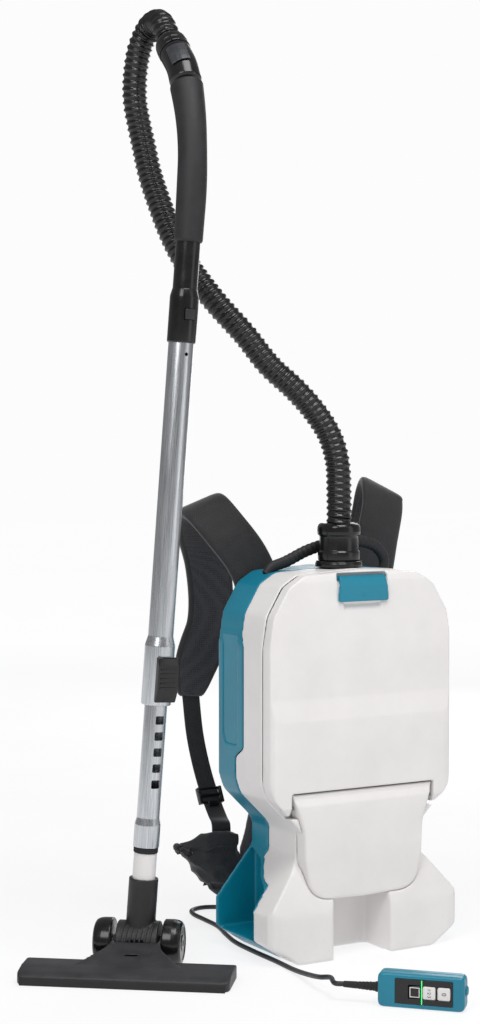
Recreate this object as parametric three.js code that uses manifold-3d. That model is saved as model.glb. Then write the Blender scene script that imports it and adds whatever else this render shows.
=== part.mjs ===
// A backpack vacuum cleaner with its harness, suction hose, telescopic wand, floor nozzle and wired remote.
// Millimetres. While it is built, the pack's base centre is the origin: +X is the pack's right as its
// front is faced, +Y goes to the wearer's back, and +Z is up. At the end the whole part is moved so that
// the origin is under the middle of everything except the hose and the remote's cable.
import * as THREE from "three";
import { mergeVertices } from "three/addons/utils/BufferGeometryUtils.js";
import Module from "manifold-3d";

const wasm = await Module();
wasm.setup();

// ---- Driving dimensions ----------------------------------------------------------------------------
const GAP = 0.3; // between pieces that touch
const WALL = 3; // moulded shell thickness
const PACK_HEIGHT = 560;
const HALF_WIDTH = 158;
const WAIST = 102; // half width of the narrow part over the battery bays
const BACK = 82; // rear face of the frame
const DOOR_FRONT = -70; // front of the door below its ledge
const DOOR_ROUND = 16; // cut of the door's front edges
const DOOR_SPLIT = -44; // plane between the door and the dust housing
const LEDGE = { low: 346, high: 377, step: 6 }; // the door steps back by `step` over this height
const SEAM = 243; // lower edge of the door's middle
const COVER_HALF_TOP = 121; // half width of the motor cover at the seam
const DOOR_HINGE = { y: -57, z: 222, pin: 2.5, eye: 11 };
const LATCH_HALF = 43;
const LATCH_PIVOT = { y: -56, z: 549, radius: 2.5 };
const COLOUR_SPLIT = { top: 17.5, middle: 10, low: 31 }; // where white housing meets the frame
const FOOT_FRONT = -78;
const BAY = { inner: 95, floor: 28, front: -28, back: 79 };
const HOSE_RADIUS = 19;
const CUFF_RADIUS = 30.5;
const CABLE_RADIUS = 3.5;

// The wand stands on the nozzle's axle and leans a little; WAND_AXIS is its unit direction.
const NOZZLE_AXLE = new THREE.Vector3(-308.7, 43.1, 33.3);
const WAND_AXIS = new THREE.Vector3(0.0616, -0.0356, 1).normalize();
const NOZZLE_TURN = THREE.MathUtils.degToRad(-38);
const NOZZLE_HALF = 148;
const WHEEL_RADIUS = 33;
const OUTER_TUBE = { radius: 18, bore: 16.6, low: 340, high: 878, flare: 21.5, flareTop: 424 };
const INNER_TUBE = { radius: 16.2, bore: 15, low: 136.5, high: 432, flare: 18.5, flareTop: 178 };
const NOTCH = { first: 222, pitch: 22.8, count: 5 };
const HANDLE_LOW = 852;

const REMOTE = { x: -83, y: -333, turn: Math.atan2(-0.72, 0.693), length: 116, height: 46, thick: 28 };

// ---- Materials -------------------------------------------------------------------------------------
const look = (color, roughness, metalness = 0) => () =>
  new THREE.MeshStandardMaterial({ color, roughness, metalness });
const WHITE = look(0xe6e3e3, 0.45);
const TEAL = look(0x00819a, 0.4);
const BLACK = look(0x141416, 0.35);
const SATIN = look(0x232326, 0.6);
const FABRIC = look(0x1b1b1d, 0.9);
const FOAM = look(0x2c2c30, 0.95);
const STEEL = look(0xb8babd, 0.3, 1);
const ALUMINIUM = look(0xc9ccd0, 0.28, 1);
const RUBBER = look(0x1d1d1e, 0.8);
const PAPER = look(0xe9e4d8, 0.95);
const BOARD = look(0x1f5d3a, 0.6);
const BRASS = look(0xb08d3e, 0.35, 1);

// ---- Solids ----------------------------------------------------------------------------------------
function solidOf(geometry) {
  const bare = geometry.index ? geometry.toNonIndexed() : geometry.clone();
  bare.deleteAttribute("normal");
  bare.deleteAttribute("uv");
  const merged = mergeVertices(bare, 1e-3);
  const corners = [];
  const index = merged.index.array;
  for (let i = 0; i < index.length; i += 3) {
    const [a, b, c] = index.slice(i, i + 3);
    if (a !== b && b !== c && c !== a) corners.push(a, b, c);
  }
  const build = (triVerts) =>
    new wasm.Manifold(
      new wasm.Mesh({
        numProp: 3,
        vertProperties: merged.attributes.position.array,
        triVerts: new Uint32Array(triVerts),
      }),
    );
  const made = build(corners);
  if (made.volume() > 0) return made;
  const flipped = [];
  for (let i = 0; i < corners.length; i += 3) {
    flipped.push(corners[i], corners[i + 2], corners[i + 1]);
  }
  return build(flipped);
}

function geometryOf(solid) {
  const mesh = solid.getMesh();
  const geometry = new THREE.BufferGeometry();
  geometry.setAttribute("position", new THREE.BufferAttribute(mesh.vertProperties, 3));
  geometry.setIndex(new THREE.BufferAttribute(mesh.triVerts, 1));
  geometry.computeVertexNormals();
  return geometry;
}

const join = (...solids) => solids.reduce((all, next) => all.add(next));
const cut = (solid, ...tools) => tools.reduce((rest, tool) => rest.subtract(tool), solid);

// An outline from corners [a, b, cut], each corner rounded over the length `cut` of its two sides.
function outline(given) {
  const corners = given.filter(([a, b], i) => {
    const [before, after] = [given.at(i - 1), given[(i + 1) % given.length]];
    return Math.abs((a - before[0]) * (after[1] - b) - (b - before[1]) * (after[0] - a)) > 1e-6;
  });
  const shape = new THREE.Shape();
  const count = corners.length;
  corners.forEach(([a, b, round = 0], i) => {
    const corner = new THREE.Vector2(a, b);
    const towards = ([c, d]) => new THREE.Vector2(c, d).sub(corner).setLength(round).add(corner);
    const start = towards(corners[(i + count - 1) % count]);
    const end = towards(corners[(i + 1) % count]);
    if (i === 0) shape.moveTo(start.x, start.y);
    else shape.lineTo(start.x, start.y);
    if (round > 0) shape.quadraticCurveTo(a, b, end.x, end.y);
  });
  shape.closePath();
  return shape;
}

// Half an outline from its top middle round to its bottom middle becomes the whole one.
const mirrored = (half) =>
  half.concat(half.slice(1, -1).reverse().map(([x, z, round]) => [-x, z, round]));

function extruded(shape, depth, bevel) {
  return new THREE.ExtrudeGeometry(shape, {
    depth: depth - 2 * bevel,
    bevelEnabled: bevel > 0,
    bevelSize: bevel,
    bevelThickness: bevel,
    bevelOffset: -bevel,
    bevelSegments: 3,
    curveSegments: 3,
  });
}

// Outlines drawn as XZ, YZ or XY and extruded along the third axis.
function prismY(corners, y0, y1, bevel = 0) {
  const geometry = extruded(outline(corners), y1 - y0, bevel);
  return solidOf(geometry.rotateX(Math.PI / 2).translate(0, y1 - bevel, 0));
}
function prismX(corners, x0, x1, bevel = 0) {
  const geometry = extruded(outline(corners), x1 - x0, bevel);
  const turn = new THREE.Matrix4().makeBasis(
    new THREE.Vector3(0, 1, 0),
    new THREE.Vector3(0, 0, 1),
    new THREE.Vector3(1, 0, 0),
  );
  return solidOf(geometry.applyMatrix4(turn).translate(x0 + bevel, 0, 0));
}
function prismZ(corners, z0, z1, bevel = 0) {
  return solidOf(extruded(outline(corners), z1 - z0, bevel).translate(0, 0, z0 + bevel));
}
function box(x0, x1, y0, y1, z0, z1) {
  const geometry = new THREE.BoxGeometry(x1 - x0, y1 - y0, z1 - z0);
  return solidOf(geometry.translate((x0 + x1) / 2, (y0 + y1) / 2, (z0 + z1) / 2));
}
const bothSides = (make) => join(make(1), make(-1));
const sideBox = (side, x0, x1, ...rest) =>
  side > 0 ? box(x0, x1, ...rest) : box(-x1, -x0, ...rest);

function rod(from, to, radius, segments = 20) {
  const start = new THREE.Vector3(...from);
  const span = new THREE.Vector3(...to).sub(start);
  const turn = new THREE.Quaternion().setFromUnitVectors(
    new THREE.Vector3(0, 1, 0),
    span.clone().normalize(),
  );
  const geometry = new THREE.CylinderGeometry(radius, radius, span.length(), segments);
  const middle = start.addScaledVector(span, 0.5);
  return solidOf(geometry.applyQuaternion(turn).translate(...middle.toArray()));
}
// A ring about Z from a closed profile of [radius, z].
function ring(profile, segments = 28) {
  const points = [...profile, profile[0]].map(([radius, z]) => new THREE.Vector2(radius, z));
  return solidOf(new THREE.LatheGeometry(points, segments).rotateX(Math.PI / 2));
}
// A bar of a closed section along a smooth line; a second outline makes it a pipe.
function swept(points, section, steps, hole) {
  const shape = new THREE.Shape(section.map(([a, b]) => new THREE.Vector2(a, b)));
  if (hole) shape.holes.push(new THREE.Path(hole.map(([a, b]) => new THREE.Vector2(a, b))));
  const path = new THREE.CatmullRomCurve3(points.map((p) => new THREE.Vector3(...p)));
  return solidOf(new THREE.ExtrudeGeometry(shape, { steps, extrudePath: path, bevelEnabled: false }));
}
const circle = (radius, sides, squash = 1) =>
  Array.from({ length: sides }, (_, i) => {
    const angle = (2 * Math.PI * i) / sides;
    return [radius * Math.cos(angle), squash * radius * Math.sin(angle)];
  });
const plank = (width, thick) => [
  [-width / 2, -thick / 2],
  [width / 2, -thick / 2],
  [width / 2, thick / 2],
  [-width / 2, thick / 2],
];

const part = new THREE.Group();
const wand = new THREE.Group();
const nozzle = new THREE.Group();
const remote = new THREE.Group();
part.add(wand, nozzle, remote);
const cordMeshes = [];

function add(name, material, solid, group = part) {
  const mesh = new THREE.Mesh(geometryOf(solid), material());
  mesh.name = name;
  group.add(mesh);
  return mesh;
}

// ---- Pack outlines ---------------------------------------------------------------------------------
const PACK_HALF = [
  [0, PACK_HEIGHT],
  [100, 554, 5],
  [126, 538, 5],
  [151, 496, 6],
  [HALF_WIDTH, 450, 6],
  [HALF_WIDTH, 256, 6],
  [150, 234, 6],
  [109, 193, 4],
  [WAIST, 183, 4],
  [WAIST, 147, 4],
  [151.5, 88, 4],
  [166, 70, 6],
  [166, 33, 6],
  [116, 0, 2],
  [0, 0],
];
const UPPER_HOLLOW_HALF = [
  [0, 557],
  [99, 551, 5],
  [124, 535.5, 5],
  [148, 495, 6],
  [155, 450, 6],
  [155, 258, 6],
  [147.5, SEAM - 1],
  [0, SEAM - 1],
];
const COVER_HALF = [
  [0, SEAM],
  [COVER_HALF_TOP, SEAM],
  [WAIST, 186, 10],
  [WAIST - 1, 140, 10],
  [91, 100, 12],
  [72, 88, 10],
  [0, 86],
];
// The base from above: the recess between the feet has one upright wall and one slanting wall.
const BASE_PLAN = [
  [-163, BACK],
  [-163, -10],
  [-166, FOOT_FRONT, 22],
  [-58, FOOT_FRONT, 5],
  [-20, -12, 6],
  [39, -12, 6],
  [42, FOOT_FRONT, 5],
  [166, FOOT_FRONT, 22],
  [163, -10],
  [163, BACK],
];
const FOOT_PROFILE = [
  [FOOT_FRONT, 0],
  [FOOT_FRONT, 70, 8],
  [-60, 128, 6],
  [-46, 147, 4],
  [-46, 150],
  [BACK, 150],
  [BACK, 0],
];
// The frame's colour: everything behind this line, with the battery bays reaching forward.
const FRAME_SIDE = [
  [COLOUR_SPLIT.top, 600],
  [COLOUR_SPLIT.top, 462, 4],
  [COLOUR_SPLIT.middle, 452, 4],
  [COLOUR_SPLIT.middle, 301, 4],
  [COLOUR_SPLIT.low, 288, 4],
  [COLOUR_SPLIT.low, -5],
  [BACK + 10, -5],
  [BACK + 10, 600],
];
const BAY_SIDE = [
  [-31, -5],
  [-31, 64, 6],
  [-23, 105, 3],
  [2, 114],
  [COLOUR_SPLIT.low + 1, 137],
  [COLOUR_SPLIT.low + 5, 137],
  [COLOUR_SPLIT.low + 5, -5],
];
const BAY_HOLLOW = [
  [BAY.front, BAY.floor],
  [BAY.front, 64, 6],
  [-20, 101, 3],
  [4, 110],
  [36, 132],
  [BAY.back - 0.5, 142],
  [BAY.back - 0.5, BAY.floor],
];

const scaledOut = (half, grow) => half.map(([x, z, round]) => [x > 0 ? x + grow : x, z, round]);

function packBlock() {
  const upper = prismY(mirrored(PACK_HALF), -46, BACK).intersect(box(-200, 200, -46, BACK, 120, 600));
  const base = prismY(mirrored(PACK_HALF), FOOT_FRONT, BACK)
    .intersect(prismZ(BASE_PLAN, -1, 151))
    .intersect(prismX(FOOT_PROFILE, -200, 200));
  const recessCeiling = box(-62, 52, -46, -10, 88, 151);
  // Below each side of the door the housing comes forward to carry its outline on to the waist.
  const { y, z, eye } = DOOR_HINGE;
  const underDoor = prismY(mirrored(PACK_HALF), -66, -45)
    .intersect(box(-200, 200, -66, -45, 176, 207))
    .subtract(rod([-200, y, z], [200, y, z], eye + 3, 24));
  return join(upper, base, recessCeiling, underDoor);
}

function frameRegion(grow) {
  const behind = prismX(FRAME_SIDE, -200, 200).translate(0, -grow, 0);
  const bays = prismX(BAY_SIDE, -200, 200)
    .translate(0, -grow, 0)
    .subtract(box(-92.3 + grow, 92.3 - grow, -50, 50, -10, 120));
  return join(behind, bays);
}

const portHole = () => rod([0, 0, 500], [0, 0, 580], 27.2, 32);

// ---- Pack shells -----------------------------------------------------------------------------------
const block = packBlock();
const handleRoute = [
  [-100, 40, 549],
  [-92, 40, 559],
  [-66, 40, 568],
  [-30, 40, 583],
  [12, 40, 593],
  [60, 40, 595],
  [94, 40, 584],
  [107, 40, 564],
  [104, 40, 546],
];
const carryHandle = (grow) => swept(handleRoute, circle(9 + grow, 10, 0.8), 24);

function rearFrame() {
  const hollowTop = prismY(mirrored(UPPER_HOLLOW_HALF), -60, BACK - WALL);
  const hollowWaist = box(-WAIST + WALL, WAIST - WALL, -60, BACK - WALL, 150, 239);
  const hollowBase = box(-92, 92, -60, BACK - WALL, 24, 152);
  const bays = bothSides((side) => {
    const hollow = prismX(BAY_HOLLOW, BAY.inner, 200);
    return side > 0 ? hollow : hollow.mirror([1, 0, 0]);
  });
  const slots = bothSides((side) => sideBox(side, 150, 170, 61, 64.5, 424, 450));
  const sidePanels = bothSides((side) => {
    const panel = prismX([[27, 304, 2], [60, 304, 2], [68, 318], [68, 462, 2], [27, 452, 2]], 156.6, 170);
    return side > 0 ? panel : panel.mirror([1, 0, 0]);
  });
  const glandHole = rod([-45, 60, 50], [-45, 90, 50], 6.3, 16);
  return cut(
    block.intersect(frameRegion(0)),
    hollowTop,
    hollowWaist,
    hollowBase,
    bays,
    slots,
    sidePanels,
    glandHole,
    portHole(),
    carryHandle(GAP),
  );
}

function dustHousing() {
  const hollowTop = prismY(mirrored(UPPER_HOLLOW_HALF), -60, COLOUR_SPLIT.middle - WALL);
  const filterWindow = box(-70, 70, -30, 4, 230, 250);
  const hollowWaist = box(-WAIST + WALL, WAIST - WALL, -60, 60, 150, 239);
  // A 3 mm wall stays behind the recess between the feet and over it.
  const hollowBase = join(box(-88, 88, -7, 60, 24, 152), box(-88, 88, -43, 60, 91, 152));
  const hollowFeet = bothSides((side) =>
    join(sideBox(side, 53, 88, -43, 60, 24, 148), sideBox(side, 62, 104, -72, -35, 4, 80)),
  );
  const coverSeat = prismY(mirrored(scaledOut(COVER_HALF, GAP)), -90, -46);
  const seamSeat = box(-150, 150, -90, -46, SEAM - 1, 600);
  const pinHoles = rod([-200, DOOR_HINGE.y, DOOR_HINGE.z], [200, DOOR_HINGE.y, DOOR_HINGE.z], 2.8);
  return cut(
    block.subtract(frameRegion(GAP)),
    box(-200, 200, -50, DOOR_SPLIT + GAP, 205, 600),
    hollowTop,
    filterWindow,
    hollowWaist,
    hollowBase,
    hollowFeet,
    coverSeat,
    seamSeat,
    pinHoles,
    portHole(),
  );
}

function motorCover() {
  const outer = prismY(mirrored(COVER_HALF), -72, -20, 4).intersect(
    box(-200, 200, -80, -46 - GAP, 0, SEAM - 0.6),
  );
  // The upper edge is set back from the door's sweep.
  const setBack = prismX([[-80, 225], [-72, 225], [-67, 236], [-67, 250], [-80, 250]], -150, 150);
  const hollow = box(-86, 86, -67, -40, 104, 228);
  const { y, z, pin } = DOOR_HINGE;
  const pins = bothSides((side) => rod([side * 112, y, z], [side * 118, y, z], pin + GAP));
  return cut(outer, setBack, hollow, pins);
}

// The door without its hollow, shrunk all round by `inset`.
function doorBlock(inset) {
  const half = [
    [0, PACK_HEIGHT - 0.5 - inset],
    [98 - inset / 3, 553 - inset, 5],
    [124 - inset, 537 - inset, 5],
    [149.5 - inset, 495 - inset / 2, 6],
    [157 - inset, 450, 6],
    [157 - inset, 256, 6],
    [149.2 - inset, 234 + inset / 2, 6],
    [126.5 - inset, DOOR_HINGE.z - DOOR_HINGE.eye + inset, 3],
    [0, DOOR_HINGE.z - DOOR_HINGE.eye + inset],
  ];
  const back = inset > 0 ? -30 : DOOR_SPLIT;
  const front = DOOR_FRONT + inset;
  const wide = 157 - inset;
  const plan = [
    [-wide, back],
    [-wide, front, DOOR_ROUND],
    [wide, front, DOOR_ROUND],
    [wide, back],
  ];
  const side = [
    [back, 180],
    [front, 180],
    [front, LEDGE.low],
    [front + LEDGE.step, LEDGE.high],
    [front + LEDGE.step, PACK_HEIGHT - inset, DOOR_ROUND],
    [back, PACK_HEIGHT - inset],
  ];
  return prismY(mirrored(half), front, back)
    .intersect(prismZ(plan, 0, 600))
    .intersect(prismX(side, -200, 200));
}

const latchRecess = (grow) =>
  prismX(
    [
      [-95, 512 - grow],
      [-63 + grow, 512 - grow],
      [-63 + grow, 538 - grow],
      [-60 + grow, 543 - grow],
      [-52 + grow, 545.5 - grow],
      [-52 + grow, 555 + grow],
      [-95, 555 + grow],
    ],
    -LATCH_HALF - 0.5 - grow,
    LATCH_HALF + 0.5 + grow,
  );
const fingerRecess = (grow) =>
  prismX([[-95, 498 - grow], [-64 + grow, 501 - grow], [-58 + grow, 513], [-95, 513]], -32 - grow, 32 + grow);

function dustDoor() {
  const hollow = cut(doorBlock(WALL), latchRecess(WALL), fingerRecess(WALL), box(-200, 200, -90, 0, 0, 249));
  const { y, z, eye } = DOOR_HINGE;
  const coverRoom = box(-COVER_HALF_TOP - 1.5, COVER_HALF_TOP + 1.5, -90, 0, 0, SEAM + 1);
  const edgeRoom = box(-200, 200, -66, 0, SEAM, SEAM + 6);
  const corner = prismX([[y - 30, 200], [y, 200], [y + 30, 200], [y + 30, z], [y - 30, z]], -200, 200);
  const eyeRod = rod([-200, y, z], [200, y, z], eye, 24);
  return cut(
    doorBlock(0),
    hollow,
    latchRecess(0),
    fingerRecess(0),
    coverRoom,
    edgeRoom.subtract(bothSides((side) => sideBox(side, COVER_HALF_TOP, 200, -90, 10, 200, 300))),
    corner.subtract(eyeRod),
    rod([-200, y, z], [200, y, z], DOOR_HINGE.pin + GAP),
    rod([-47, LATCH_PIVOT.y, LATCH_PIVOT.z], [47, LATCH_PIVOT.y, LATCH_PIVOT.z], 2),
  );
}

function doorLatch() {
  const { y, z, radius } = LATCH_PIVOT;
  const plate = prismX(
    [
      [-69, 514, 1],
      [-69, 536, 4],
      [-65, 548, 2],
      [-62, 550.5, 1],
      [y, z + radius],
      [y, z - radius],
      [-60, 544.5],
      [-63.4, 539],
      [-63.4, 514, 1],
    ],
    -LATCH_HALF,
    LATCH_HALF,
  );
  const wide = LATCH_HALF;
  const face = [[-wide, 513, 7], [wide, 513, 7], [wide - 5, 560, 4], [5 - wide, 560, 4]];
  const eye = rod([5 - wide, y, z], [wide - 5, y, z], radius);
  return join(plate.intersect(prismY(face, -90, -30)), eye, rod([-46, y, z], [46, y, z], 1.6));
}

// Half an outline drawn in by `across` at its sides and by `end` at its top and bottom.
const drawnIn = (half, across, end) =>
  half.map(([x, z, round]) => [x > 0 ? x - across : 0, z > 400 ? z - end : z + end, round]);

function doorSeal() {
  const half = [[0, 549], [96, 543, 12], [118, 528, 12], [141, 490, 14], [148, 448, 16],
    [148, 268, 14], [0, 268]];
  return prismY(mirrored(half), -43.4, -40.6)
    .subtract(prismY(mirrored(drawnIn(half, 5, 5)), -50, -30))
    .intersect(prismY(mirrored(drawnIn(UPPER_HOLLOW_HALF, GAP, GAP)), -60, 6));
}

add("rear_frame", TEAL, rearFrame());
add("dust_housing", WHITE, dustHousing());
add("motor_cover", WHITE, motorCover());
add("dust_door", WHITE, dustDoor());
add("door_latch", TEAL, doorLatch());
add("door_seal", RUBBER, doorSeal());
for (const [name, side] of [["left", -1], ["right", 1]]) {
  const { y, z, pin } = DOOR_HINGE;
  add(`hinge_pin_${name}`, STEEL, rod([side * 112.3, y, z], [side * 129, y, z], pin, 12));
}

// ---- Hose port on the top --------------------------------------------------------------------------
add(
  "inlet_port",
  BLACK,
  ring([[20, 532], [24, 532], [24, 545], [26.6, 549], [26.6, 560.4], [35, 560.4], [35, 568], [33, 569.5],
    [24.4, 569.5], [24.4, 600], [20, 600]], 32),
);
add(
  "hose_cuff",
  BLACK,
  ring([[24.8, 570], [CUFF_RADIUS, 570], [CUFF_RADIUS, 608], [31.6, 611], [31.6, 619], [28, 625],
    [HOSE_RADIUS + GAP, 625], [HOSE_RADIUS + GAP, 601], [24.8, 601]], 32),
);
add("carry_handle", SATIN, carryHandle(0));

// ---- Inside the pack -------------------------------------------------------------------------------
add("bag_plate", PAPER, box(-60, 60, -38, 6, 522, 525).subtract(rod([0, 0, 500], [0, 0, 560], 25)));
add(
  "dust_bag",
  PAPER,
  prismY([[-40, 521.5], [40, 521.5], [120, 500, 14], [132, 470, 14], [132, 280, 12], [110, 262, 12],
    [-110, 262, 12], [-132, 280, 12], [-132, 470, 14], [-120, 500, 14]], -38, 6),
);
add("hepa_filter", PAPER, box(-66, 66, -28, 3, 196, 229.5));
add("filter_frame", BLACK, box(-74, 74, -34, 8, 190, 238.5).subtract(box(-66.5, 66.5, -28.5, 3.5, 186, 260)));
const MOTOR = { x: 0, y: 34, radius: 34 };
const motorRing = (profile, segments) => ring(profile, segments).translate(MOTOR.x, MOTOR.y, 0);
add("motor_can", STEEL, motorRing([[5, 62], [MOTOR.radius, 62], [MOTOR.radius, 118], [5, 118]], 24));
add("motor_shaft", STEEL, rod([MOTOR.x, MOTOR.y, 50], [MOTOR.x, MOTOR.y, 150], 4, 12));
add("fan_impeller", ALUMINIUM, motorRing([[4.3, 126], [36, 126], [36, 129], [14, 144], [4.3, 144]], 28));
add(
  "fan_shroud",
  BLACK,
  motorRing([[34.5, 119], [41.5, 119], [41.5, 150], [20, 158], [20, 155], [38.5, 148], [38.5, 122],
    [34.5, 122]], 28),
);
add(
  "motor_mount",
  RUBBER,
  motorRing([[10, 24.3], [40, 24.3], [40, 70], [34.4, 70], [34.4, 61.7], [10, 61.7]], 24),
);
add("controller_board", BOARD, box(-60, 60, 76, 78, 110, 210));
for (const [name, side] of [["left", -1], ["right", 1]]) {
  const body = box(0, 7, 8, 44, 38, 74);
  const rails = join(box(6.9, 11, 8, 12, 38, 74), box(6.9, 11, 40, 44, 38, 74));
  const block = join(body, rails);
  const placed = side > 0 ? block : block.mirror([1, 0, 0]);
  add(`battery_terminal_${name}`, BLACK, placed.translate(side * (BAY.inner + GAP), 0, 0));
}

// ---- Harness ---------------------------------------------------------------------------------------
const padHalf = [[0, 488], [84, 488, 20], [84, 232, 20], [0, 232]];
add("back_pad", FOAM, prismY(mirrored(padHalf), BACK + GAP, 98, 5));
add(
  "lumbar_pad",
  FOAM,
  prismX([[BACK + GAP, 226], [98, 226, 6], [146, 124, 6], [148, 104, 6], [132, 100, 4],
    [BACK + GAP, 200]], -95, 95),
);
// Middle lines of the padded straps, the webbing below them and the left hip belt.
const STRAPS = {
  left: [[-87, 90.6, 497], [-87, 92, 535], [-100, 98, 570], [-128, 112, 612], [-146, 140, 645],
    [-140, 178, 646], [-118, 212, 612], [-92, 234, 560], [-81, 242, 500], [-84, 243, 457],
    [-97, 242, 425], [-110, 240, 394], [-119, 236, 362], [-120, 235.8, 350]],
  right: [[112, 90.6, 497], [112, 91, 520], [122, 93, 552], [134, 97, 600], [147, 103, 645],
    [152, 112, 664], [160, 128, 668], [166, 145, 655], [168, 160, 620], [160, 180, 560],
    [145, 205, 480], [128, 226, 400], [116, 236, 350]],
};
const WEBBING = {
  left: [[-120, 235.6, 347.9], [-118, 226, 290], [-113, 210, 235], [-108, 190, 192], [-110, 168, 172],
    [-114, 152, 165]],
  right: [[116, 235.4, 346.9], [114, 226, 290], [111, 210, 235], [107, 190, 192], [104, 168, 172],
    [103, 152, 165]],
};
const BUCKLES = { left: -109, right: 107.4 };
const HIP_BELT = [[-98, 138, 103], [-110, 139, 103], [-132, 146, 102], [-160, 154, 101], [-186, 158, 100]];
for (const [name, side] of [["left", -1], ["right", 1]]) {
  const webbing = (grow) => swept(WEBBING[name], plank(30 + grow, 3 + grow), 14);
  add(`shoulder_strap_${name}`, FABRIC, swept(STRAPS[name], plank(74, 13), 26));
  add(`strap_webbing_${name}`, FABRIC, webbing(0));
  const buckle = box(-21, 21, -5, 5, -13, 13).rotate([-28, 0, 0]).translate(BUCKLES[name], 195, 201);
  add(`strap_buckle_${name}`, BLACK, buckle.subtract(webbing(1)));
  const belt = HIP_BELT.map(([x, y, z]) => [side < 0 ? x : -x, y, z]);
  add(`hip_belt_${name}`, FABRIC, swept(belt, plank(110, 20), 12));
}

// ---- Remote, its cable and the gland ---------------------------------------------------------------
const GLAND = [-45, 50];
add(
  "cable_gland",
  RUBBER,
  join(
    rod([GLAND[0], 76, GLAND[1]], [GLAND[0], 90, GLAND[1]], 6, 16),
    rod([GLAND[0], BACK + GAP, GLAND[1]], [GLAND[0], 96, GLAND[1]], 8, 16),
  ),
);
remote.position.set(REMOTE.x, REMOTE.y, GAP);
remote.rotation.z = REMOTE.turn;
const halfLong = REMOTE.length / 2;
const { height } = REMOTE;
const remoteOutline = [[-halfLong, 0, 8], [halfLong, 0, 8], [halfLong, height, 8], [-halfLong, height, 8]];
const panelBox = (grow) => box(-34 - grow, 42.5 + grow, -14.2 - grow, -12.4 + grow, 6.5 - grow, 39.5 + grow);
const remoteShell = prismY(remoteOutline, -14, 14, 4);
const remoteHollow = prismY([[-54, 4, 5], [54, 4, 5], [54, height - 4, 5], [-54, height - 4, 5]], -11, 11);
const BUTTONS = { button_stop: 31, button_speed: 11.4, button_mode: -7.6 };
const buttonHoles = Object.values(BUTTONS).map((x) => box(x - 8.9, x + 8.9, -20, 0, 14.1, 31.9));
add(
  "remote_front",
  TEAL,
  cut(remoteShell.intersect(box(-70, 70, -20, 0, -5, 60)), remoteHollow, panelBox(GAP), ...buttonHoles),
  remote,
);
add("remote_back", TEAL, remoteShell.intersect(box(-70, 70, GAP, 20, -5, 60)).subtract(remoteHollow), remote);
add("remote_panel", BLACK, cut(panelBox(0), ...buttonHoles), remote);
for (const [name, x] of Object.entries(BUTTONS)) {
  add(name, name === "button_mode" ? BLACK : WHITE, box(x - 8.5, x + 8.5, -15.4, -12.4, 14.5, 31.5), remote);
}
add(
  "strain_relief",
  RUBBER,
  ring([[0.01, 0], [7, 0], [7, 4], [5, 30], [4.2, 48], [0.01, 48]], 14)
    .rotate([0, -90, 0])
    .translate(-halfLong - GAP, 0, height / 2 - GAP),
  remote,
);
const remoteEnd = (reach) => [
  REMOTE.x - reach * Math.cos(REMOTE.turn),
  REMOTE.y - reach * Math.sin(REMOTE.turn),
  REMOTE.height / 2,
];
const CABLE = [[-45, 96.5, 50], [-45, 108, 50], [-45, 128, 40], [-43, 154, 20], [-41, 190, 6],
  [-41, 225, 3.8], [-41, 255, 3.8], [-50.4, 277.6, 3.8], [-73, 287, 3.8], [-95.6, 277.6, 3.8],
  [-105, 255, 3.8], [-107, 220, 3.8], [-110, 170, 3.8], [-124, 118, 3.8], [-135, 70, 3.8],
  [-138, 10, 3.8], [-138, -50, 3.8], [-142, -105, 5], [-150, -155, 11], [-158, -200, 19],
  [-157, -224, 24], ...[118, 106.9].map(remoteEnd)];
cordMeshes.push(add("remote_cable", RUBBER, swept(CABLE, circle(CABLE_RADIUS, 8), 56)));

// ---- Wand (drawn along +Z from the nozzle's axle, with the handle bending to +Y) -------------------
const wandY = new THREE.Vector3(0, 1, 0).addScaledVector(WAND_AXIS, -WAND_AXIS.y).normalize();
const wandX = new THREE.Vector3().crossVectors(wandY, WAND_AXIS);
wand.applyMatrix4(new THREE.Matrix4().makeBasis(wandX, wandY, WAND_AXIS).setPosition(NOZZLE_AXLE));

function innerTube() {
  const { radius, bore, low, high, flare, flareTop } = INNER_TUBE;
  const tube = ring([[bore, 152], [flare - 1.6, 144], [flare - 1.6, low + GAP], [flare, low + GAP],
    [flare, flareTop - 8], [radius, flareTop], [radius, high], [bore, high]], 24);
  const notches = Array.from({ length: NOTCH.count }, (_, i) => {
    const z = NOTCH.first + i * NOTCH.pitch;
    return box(-6.5, 6.5, -25, -13, z, z + 12);
  });
  return cut(tube, ...notches);
}
add("inner_tube", ALUMINIUM, innerTube(), wand);
add("wand_end_cuff", WHITE, ring([[13, 50], [16.4, 50], [16.4, 128.5], [13, 128.5]], 24), wand);
add("wand_seal_ring", RUBBER, ring([[13, 129], [17.6, 129], [17.6, 136.3], [13, 136.3]], 24), wand);
const outerTube = ring([[OUTER_TUBE.bore, OUTER_TUBE.low], [OUTER_TUBE.flare, OUTER_TUBE.low],
  [OUTER_TUBE.flare, OUTER_TUBE.flareTop], [OUTER_TUBE.radius, 436], [OUTER_TUBE.radius, OUTER_TUBE.high],
  [OUTER_TUBE.bore, OUTER_TUBE.high]], 24);
add("outer_tube", ALUMINIUM, outerTube.subtract(box(-5, 5, -30, -10, 366, 386)), wand);

const LOCK = prismX([[-31, 358, 3], [-31, 400, 3], [-27, 410, 2], [-22.2, 410], [-22.2, 346],
  [-27, 346, 2]], -16, 16);
add(
  "tube_lock_slider",
  BLACK,
  join(LOCK, box(-4, 4, -24, -17.2, 370, 380)),
  wand,
);

const HANDLE_LINE = [[0, 0, 924], [0, 0, 1000], [0, 1, 1070], [0, 6, 1120], [0, 17, 1166], [0, 33, 1206],
  [0, 53, 1243], [0, 80, 1269]];
const handleCurve = new THREE.CatmullRomCurve3(HANDLE_LINE.map((p) => new THREE.Vector3(...p)));
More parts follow.
